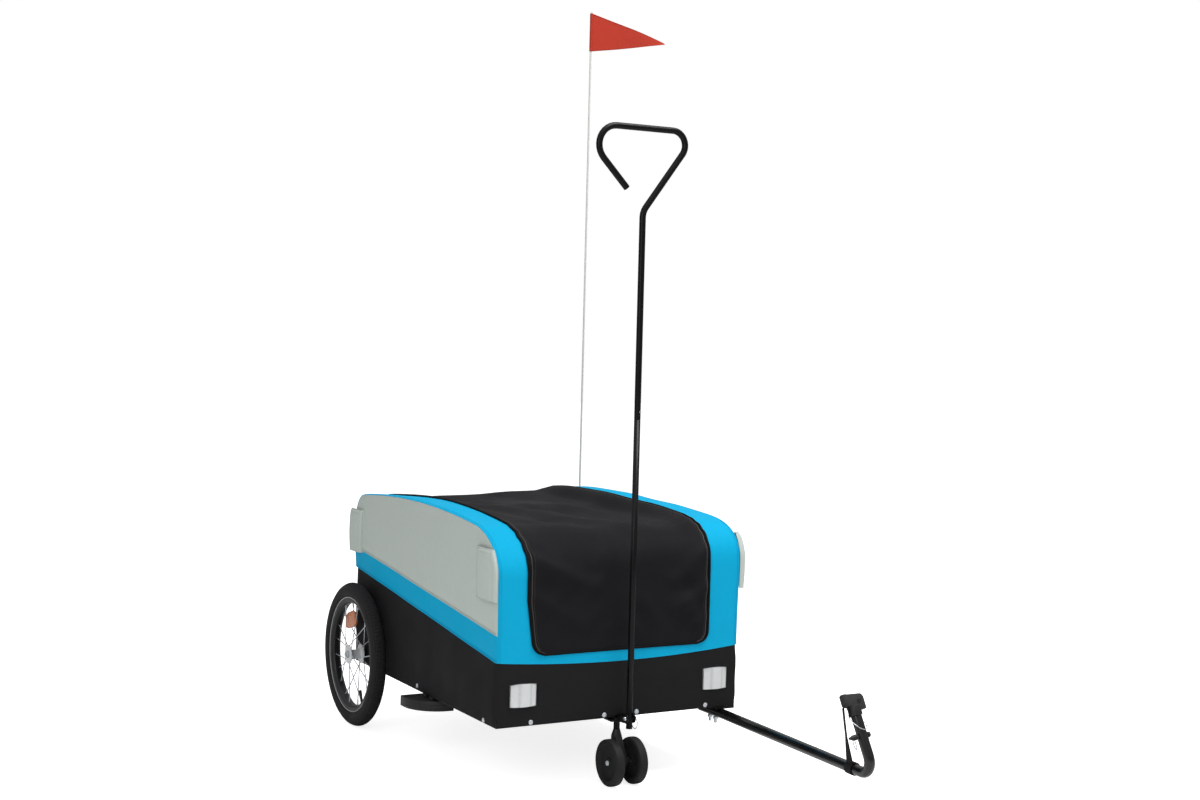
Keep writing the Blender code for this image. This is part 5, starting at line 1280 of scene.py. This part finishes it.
class TRAILER_OT_wheels(bpy.types.Operator):
    """Spoked wheels: block-tread tyres, rims, laced hubs, valves, reflectors and axles."""

    bl_idname = "trailer.wheels"
    bl_label = "Wheels"

    def tyre(self, depth):
        """Tyre about the origin: its section is spun, then each tread block is raised by an inset."""
        half = [(radius, tyre_half(radius)) for radius in TYRE_RADII] + [(0.1932, 0.0138)]
        half += [(tread_radius(x) - depth, x) for x in TREAD_EDGES]
        piece = turned("tyre", mirrored(half), 120, (0, 0, 0))
        edit(piece, lambda face: abs(face.center.x) < TREAD_EDGES[0] and face.center.length > 0.19)
        bpy.ops.mesh.inset(thickness=0.0010, depth=depth, use_individual=True)
        bpy.ops.object.mode_set(mode="OBJECT")
        return settle(piece, 30)

    def laces(self, radius):
        """Paths of the spokes, each with its elbow in a flange, and of the nipples at the rim."""
        spokes, nipples = [], []
        for flange, start in ((1, 0.25), (-1, 0.75)):
            for k in range(SPOKES):
                turn = 2 * math.pi * (k + start) / SPOKES
                lead = 1 if k % 2 == 0 else -1
                side = Vector((lead * STAGGER, 0, 0))
                hole = self.wheel_spot(SPOKE_HOLES, turn, flange * FLANGE)
                end = self.wheel_spot(SPOKE_END, turn + lead * LACING, flange * 0.002) + side
                ahead = (end - hole - side).normalized()
                spokes.append([hole - side * 2.0, hole + side * 0.5, hole + side + ahead * radius, end])
                nipples.append([end - ahead * NIPPLE[1], end])
        return spokes, nipples

    def wheel_spot(self, radius, turn, x):
        """A place on a wheel about the origin, by radius, angle from the top and distance along the axle."""
        return Vector((x, radius * math.sin(turn), radius * math.cos(turn)))

    def execute(self, context):
        settings, metal = context.scene.trailer_wheels, context.scene.trailer_metal
        rubber, zinc = tyre_rubber(settings.rubber), bright_zinc(metal.zinc)
        plastic = moulded_plastic(metal.plastic)
        spokes, nipples = self.laces(settings.spoke)
        rings = [[Vector(VALVE_WAY) * radius for radius in reach]
                 for reach in ((0.143, 0.119), (0.120, 0.105))]
        # Thin light rings on the rim's hook edges: a painted highlight along them.
        edges = [[self.wheel_spot(RIM_EDGE[0], math.pi * k / 64, sign * RIM_EDGE[1]) for k in range(128)]
                 for _, sign in SIDES]
        rim_edge_highlight = aluminium("satin aluminium", settings.edge, 0.3)
        hub_look = aluminium("polished hub shell", linear("#D4D6D8"), 0.35)
        parts = [(self.tyre(settings.tread), rubber, "rubber", "tyre"),
                 (settle(turned("rim", mirrored(RIM_SECTION), 128, (0, 0, 0)), 30),
                  aluminium("black anodised aluminium", settings.rim, 0.4), "rim", "rim"),
                 (tubes("rim_edge_highlights", edges, 0.0015, 8, closed=True), rim_edge_highlight, "rim", None),
                 (tubes("spokes", spokes, settings.spoke, 8), zinc, "zinc", "hub_and_spokes"),
                 (tubes("nipples", nipples, NIPPLE[0], 8), zinc, "zinc", None),
                 (tubes("valve", rings[:1], 0.0036, 16), rubber, "rubber", None),
                 (tubes("valve_cap", rings[1:], 0.0043, 16), plastic, "black_plastic", None)]
        amber = prism_plastic("amber acrylic reflector", settings.amber)
        for side, sign in SIDES:
            body = f"{side}_wheel"
            centre = middle(f"{side}_tyre")
            for source, look, slot, node in parts:
                piece = copied(source, f"{side}_{source.name}", Matrix.Translation(centre))
                dress(piece, look, body, slot, *([f"{side}_{node}"] if node else []))
            hub = turned(f"{side}_hub", [(radius, sign * x) for radius, x in HUB_SECTION], 48, centre)
            dress(settle(hub, 30), hub_look, body, "zinc")
            refine(amber, body, "amber_reflector", (f"{side}_spoke_reflector",), 40, 0.0012)
            refine(zinc, "chassis", "zinc", (f"{side}_axle",), 35, 0.0003)
            refine(zinc, f"{side}_button", "zinc", (f"{side}_release_button",), 35, 0.0003)
            self.guard(side, sign, plastic)
        for source, _, _, _ in parts:
            bpy.data.objects.remove(source)
        return {"FINISHED"}

    def guard(self, side, sign, look):
        """Moulded bumper ahead of a wheel, with two thin ribs along its wall."""
        node = f"{side}_wheel_guard"
        refine(look, "chassis", "black_plastic", (node,), 35, 0.0014)
        low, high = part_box(node)
        inner, outer = (low.x, high.x) if sign > 0 else (high.x, low.x)
        turns = [math.pi * k / 32 for k in range(17)]
        lines = []
        for drop in (0.0185, 0.0265):
            z = high.z - drop
            bend = [Vector((outer - sign * GUARD_ROUND * (1 - math.sin(turn)),
                            low.y + GUARD_ROUND * (1 - math.cos(turn)), z)) for turn in turns]
            lines.append([Vector((inner + sign * 0.004, low.y, z)), *bend,
                          Vector((outer, high.y - 0.003, z))])
        dress(tubes(f"{node}_ribs", lines, 0.0007, 8), look, "chassis", "black_plastic")


class TRAILER_OT_caster(bpy.types.Operator):
    """Swivel caster with two dished wheels side by side."""

    bl_idname = "trailer.caster"
    bl_label = "Caster"

    def execute(self, context):
        settings = context.scene.trailer_metal
        plastic, zinc = moulded_plastic(settings.plastic), bright_zinc(settings.zinc)
        rubber = tyre_rubber(context.scene.trailer_wheels.rubber)
        refine(plastic, "caster", "black_plastic", ("caster_fork",), 35, 0.0010)
        refine(zinc, "caster", "zinc", ("caster_axle",), 35, 0.0004)
        for side, sign in SIDES:
            centre = middle(f"caster_wheel_{side}")
            wheel = turned(f"caster_{side}_tread", mirrored(CASTER_SECTION), 72, centre)
            dress(settle(wheel, 35), rubber, f"caster_{side}_wheel", "rubber", f"caster_wheel_{side}")
            dome = turned(f"caster_{side}_cap", [(radius, sign * x) for radius, x in CASTER_CAP], 32, centre)
            dress(settle(dome, 35), passivated_zinc(settings.zinc), f"caster_{side}_wheel", "zinc")
        return {"FINISHED"}


class TRAILER_OT_handle(bpy.types.Operator):
    """Pull handle: lower tube on its pin, and the upper tube bent into an open grip."""

    bl_idname = "trailer.handle"
    bl_label = "Pull handle"

    def execute(self, context):
        settings = context.scene.trailer_metal
        coat, zinc = powder_coat(settings.coat), bright_zinc(settings.zinc)
        refine(coat, "handle_base", "black_steel", ("handle_lower_tube",), 50)
        refine(zinc, "chassis", "zinc", ("handle_ring_pin",), 50)
        refine(zinc, "snap_button", "zinc", ("handle_snap_button",), 35, 0.0003)
        path = bent([at(x, HANDLE_Y, z) for x, z in HANDLE_PATH], HANDLE_ROUNDS)
        upper = bevelled(tubes("handle_upper_tube_bent", [path], HANDLE_RADIUS, 24), 0.0012)
        dress(settle(upper, 50), coat, "handle_top", "black_steel", "handle_upper_tube")
        return {"FINISHED"}


class TRAILER_OT_arm(bpy.types.Operator):
    """Towing arm with its bolts, the hitch at its top, and the safety strap."""

    bl_idname = "trailer.arm"
    bl_label = "Towing arm"

    def drape(self, hood, along, right):
        """Let the cap hang as folded webbing does: lower towards its free end."""
        centre = middle("hitch_strap_cap")
        places = [((v.co - centre).dot(right), (v.co - centre).dot(along)) for v in hood.data.vertices]
        reach = [max(abs(place[k]) for place in places) for k in (0, 1)]
        for vertex, (aside, rise) in zip(hood.data.vertices, places):
            aside, rise = aside / reach[0], rise / reach[1]
            upper = 0.0010 - 0.0030 * aside + 0.0012 * math.sin(5.0 * aside)
            lower = -0.0130 * ease(-0.7, 0.4, aside)
            vertex.co += along * blend(lower, upper, (rise + 1) / 2)

    def strap(self, bend, ease_point, top, along, right, look):
        """Webbing looped round the bar, and its run up to the cap."""
        fall = (bend - ease_point).normalized()
        centre = bend - fall * 0.083
        ring = ARM_RADIUS + 0.0003

        def loop(u, v):
            angle = 2 * math.pi * u
            out = Vector((math.cos(angle), 0, math.sin(angle)))
            return centre + out * (ring + STRAP) + fall * 0.024 * (v - 0.5)

        foot = centre + Vector((-0.5, 0, math.sqrt(0.75))) * (ring + STRAP / 2)
        head = top - right * 0.029 + along * 0.0238

        def rise(u, v):
            point = foot.lerp(head, v) - Vector((0.001 * math.sin(math.pi * v), 0, 0))
            twist = math.radians(30) * min(1.0, 2 * v)
            wide = Vector((math.sin(twist), math.cos(twist), 0)) * 0.0115 * (1 - 0.16 * v)
            wide.z = -v * wide.dot(along) / along.z
            return point + wide * (2 * u - 1) + Vector((STRAP / 2, 0, 0))

        ribbon, flat = cloth("safety_strap_rise", rise, 8, 60, STRAP)
        ring_piece, around = cloth("safety_strap_loop", loop, 48, 6, STRAP, closed=True)
        dress(ribbon, look, "drawbar", "webbing", "safety_strap")
        dress(ring_piece, look, "drawbar", "webbing")

    def execute(self, context):
        settings = context.scene.trailer_metal
        zinc, plastic = bright_zinc(settings.zinc), moulded_plastic(settings.plastic)
        # Woven polypropylene webbing: heavy ribs with darker gaps between them
        webbing = ribbed_cloth("black webbing", settings.webbing, (0.0016, 0.0022), 0.75, 0.6, 1.6, 0.0005)
        pivot, bend, top = at(*PIVOT), at(*ARM_BEND), at(*ARM_TOP)
        ease_point = pivot + Vector((0, -0.052, 0))
        corners = [pivot + Vector((0, 0.045, 0)), ease_point, bend, top]
        bar = bevelled(tubes("towing_arm", [bent(corners, ARM_ROUNDS)], ARM_RADIUS, 32), 0.0015)
        dress(settle(bar, 50), powder_coat(settings.coat, 0.7), "drawbar", "black_steel", "drawbar_tube")
        refine(zinc, "chassis", "zinc", ("drawbar_pivot_bolt",), 35, 0.0003)
        refine(zinc, "drawbar", "zinc", ("drawbar_lock_bolt",), 35, 0.0003)
        refine(plastic, "hitch", "black_plastic", ("hitch_coupler",), 35, 0.0008)
        refine(plastic, "hitch_pin", "black_plastic", ("hitch_pin",), 35, 0.0003)
        along = (top - bend).normalized()
        right = Vector((1, 0, 0))
        right = (right - along * right.dot(along)).normalized()
        self.strap(bend, ease_point, top, along, right, webbing)
        hood = smoothed("hitch_strap_cap", "hitch_strap_cap_finished", 40, 0.0022)
        self.drape(hood, along, right)
        dress(hood, webbing_cap(settings.webbing), "hitch", "webbing", "hitch_strap_cap")

        deep = along.cross(right)
        pin = top - along * PIN_DROP
        turns = [2 * math.pi * k / 32 for k in range(32)]
        ring = [pin - right * (0.0275 + 0.0032 * math.cos(t)) - along * (0.0150 + 0.0115 * math.sin(t))
                for t in turns]
        hang = (-deep * math.cos(1.0) - along * math.sin(1.0)) * 0.0256
        slant = (right - along * 0.30).normalized() * 0.0185
        collar = [top - along * 0.0125 + slant * math.cos(t) + hang * math.sin(t) for t in turns]
        seat = top + along * 0.0330 + right * 0.011 - deep * 0.0125

        def wire(name, path, radius, sides):
            """A closed loop of plated wire on the arm."""
            dress(tubes(name, [path], radius, sides, closed=True), zinc, "drawbar", "zinc")

        def knob(name, section, spot, out, body):
            """A small turned head of moulded plastic."""
            piece = turned(name, section, 24, (0, 0, 0), "Z")
            piece.data.transform(facing(spot, out))
            dress(settle(piece, 35), plastic, body, "black_plastic")

        wire("pin_boss_ring", ring, 0.0012, 8)
        knob("pin_boss", BOSS, pin - right * 0.0155, -right, "drawbar")
        wire("hitch_collar", collar, 0.0010, 12)
        knob("hitch_cap_bolt", CAP_BOLT, seat, -deep, "hitch")
        return {"FINISHED"}


class TRAILER_OT_flag(bpy.types.Operator):
    """Safety flag: white rod in its sleeve and the red pennant sewn round it."""

    bl_idname = "trailer.flag"
    bl_label = "Safety flag"

    def execute(self, context):
        settings = context.scene.trailer_flag
        low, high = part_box("flag_pole")
        x, y = (low.x + high.x) / 2, (low.y + high.y) / 2
        ends = [Vector((x, y, z)) for z in (low.z, high.z)]
        pole = bevelled(tubes("flag_pole_rod", [ends], (high.x - low.x) / 2, 24), 0.0008)
        dress(settle(pole, 50), glass_fibre(settings.rod), "flag", "white_rod", "flag_pole")
        plastic = moulded_plastic(context.scene.trailer_metal.plastic)
        refine(plastic, "chassis", "black_plastic", ("flag_sleeve",), 35, 0.0005)
        # Thin nylon taffeta: fine ribs, light through its middle and darker where it is doubled
        red = ribbed_cloth("red nylon taffeta", settings.red, (0.0018, 0.0018), 0.55, 0.82, 1.12, 0.0003)
        lowest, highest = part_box("pennant")
        hoist = highest.z - lowest.z
        centre = (highest.z + lowest.z) / 2
        length = highest.x - x - FLAG_HEM

        def sail(u, v):
            half = blend(hoist, 0.003, u) / 2
            ripple = settings.wave * u * math.sin(u * 6.5 + v * 0.8)
            sag = 0.007 * u * u + 0.0035 * math.sin(math.pi * u) * (1 - v)
            return Vector((x + FLAG_HEM + u * length, y + ripple, centre + half * (2 * v - 1) - sag))

        def hem(u, v):
            angle = 2 * math.pi * u
            radius = FLAG_HEM * (1 + wrinkle(0, 0, v, 9, 0.06))
            return Vector((x + radius * math.cos(angle), y + radius * math.sin(angle),
                           centre + hoist * (v - 0.5)))

        sleeve, _ = cloth("pennant_hem", hem, 20, 24, 0.0006, closed=True)
        dress(sleeve, red, "flag", "red_nylon")
        pennant, flat = cloth("pennant_cloth", sail, 60, 14, 0.0007)
        dress(pennant, red, "flag", "red_nylon", "pennant")
        one_side(pennant)
        edges = [[sail(k / 60, v) for k in range(61)] for v in (0.02, 0.98)]
        dress(tubes("pennant_edges", edges, 0.0007, 8), red, "flag", "red_nylon")
        return {"FINISHED"}


class TRAILER_PT_panel(bpy.types.Panel):
    """Lists the operators that dress the trailer."""

    bl_label = "Trailer"
    bl_space_type = "VIEW_3D"
    bl_region_type = "UI"
    bl_category = "Trailer"

    def draw(self, context):
        for operator in OPERATORS:
            self.layout.operator(operator.bl_idname)


GROUPS = {"trailer_stage": StageSettings, "trailer_tub": TubSettings, "trailer_lid": LidSettings,
          "trailer_metal": MetalSettings, "trailer_wheels": WheelSettings, "trailer_flag": FlagSettings}
OPERATORS = (TRAILER_OT_stage, TRAILER_OT_base, TRAILER_OT_walls, TRAILER_OT_lid, TRAILER_OT_pockets,
             TRAILER_OT_lamps, TRAILER_OT_wheels, TRAILER_OT_caster, TRAILER_OT_handle, TRAILER_OT_arm,
             TRAILER_OT_flag)


def register():
    for group in GROUPS.values():
        bpy.utils.register_class(group)
    for name, group in GROUPS.items():
        setattr(bpy.types.Scene, name, bpy.props.PointerProperty(type=group))
    for operator in OPERATORS:
        bpy.utils.register_class(operator)
    bpy.utils.register_class(TRAILER_PT_panel)


def unregister():
    bpy.utils.unregister_class(TRAILER_PT_panel)
    for operator in reversed(OPERATORS):
        bpy.utils.unregister_class(operator)
    for name, group in GROUPS.items():
        delattr(bpy.types.Scene, name)
        bpy.utils.unregister_class(group)


def main():
    """Make every piece in order."""
    register()
    bpy.ops.trailer.stage()
    bpy.ops.trailer.base()
    bpy.ops.trailer.walls()
    bpy.ops.trailer.lid()
    bpy.ops.trailer.pockets()
    bpy.ops.trailer.lamps()
    bpy.ops.trailer.wheels()
    bpy.ops.trailer.caster()
    bpy.ops.trailer.handle()
    bpy.ops.trailer.arm()
    bpy.ops.trailer.flag()


if __name__ == "__main__":
    main()
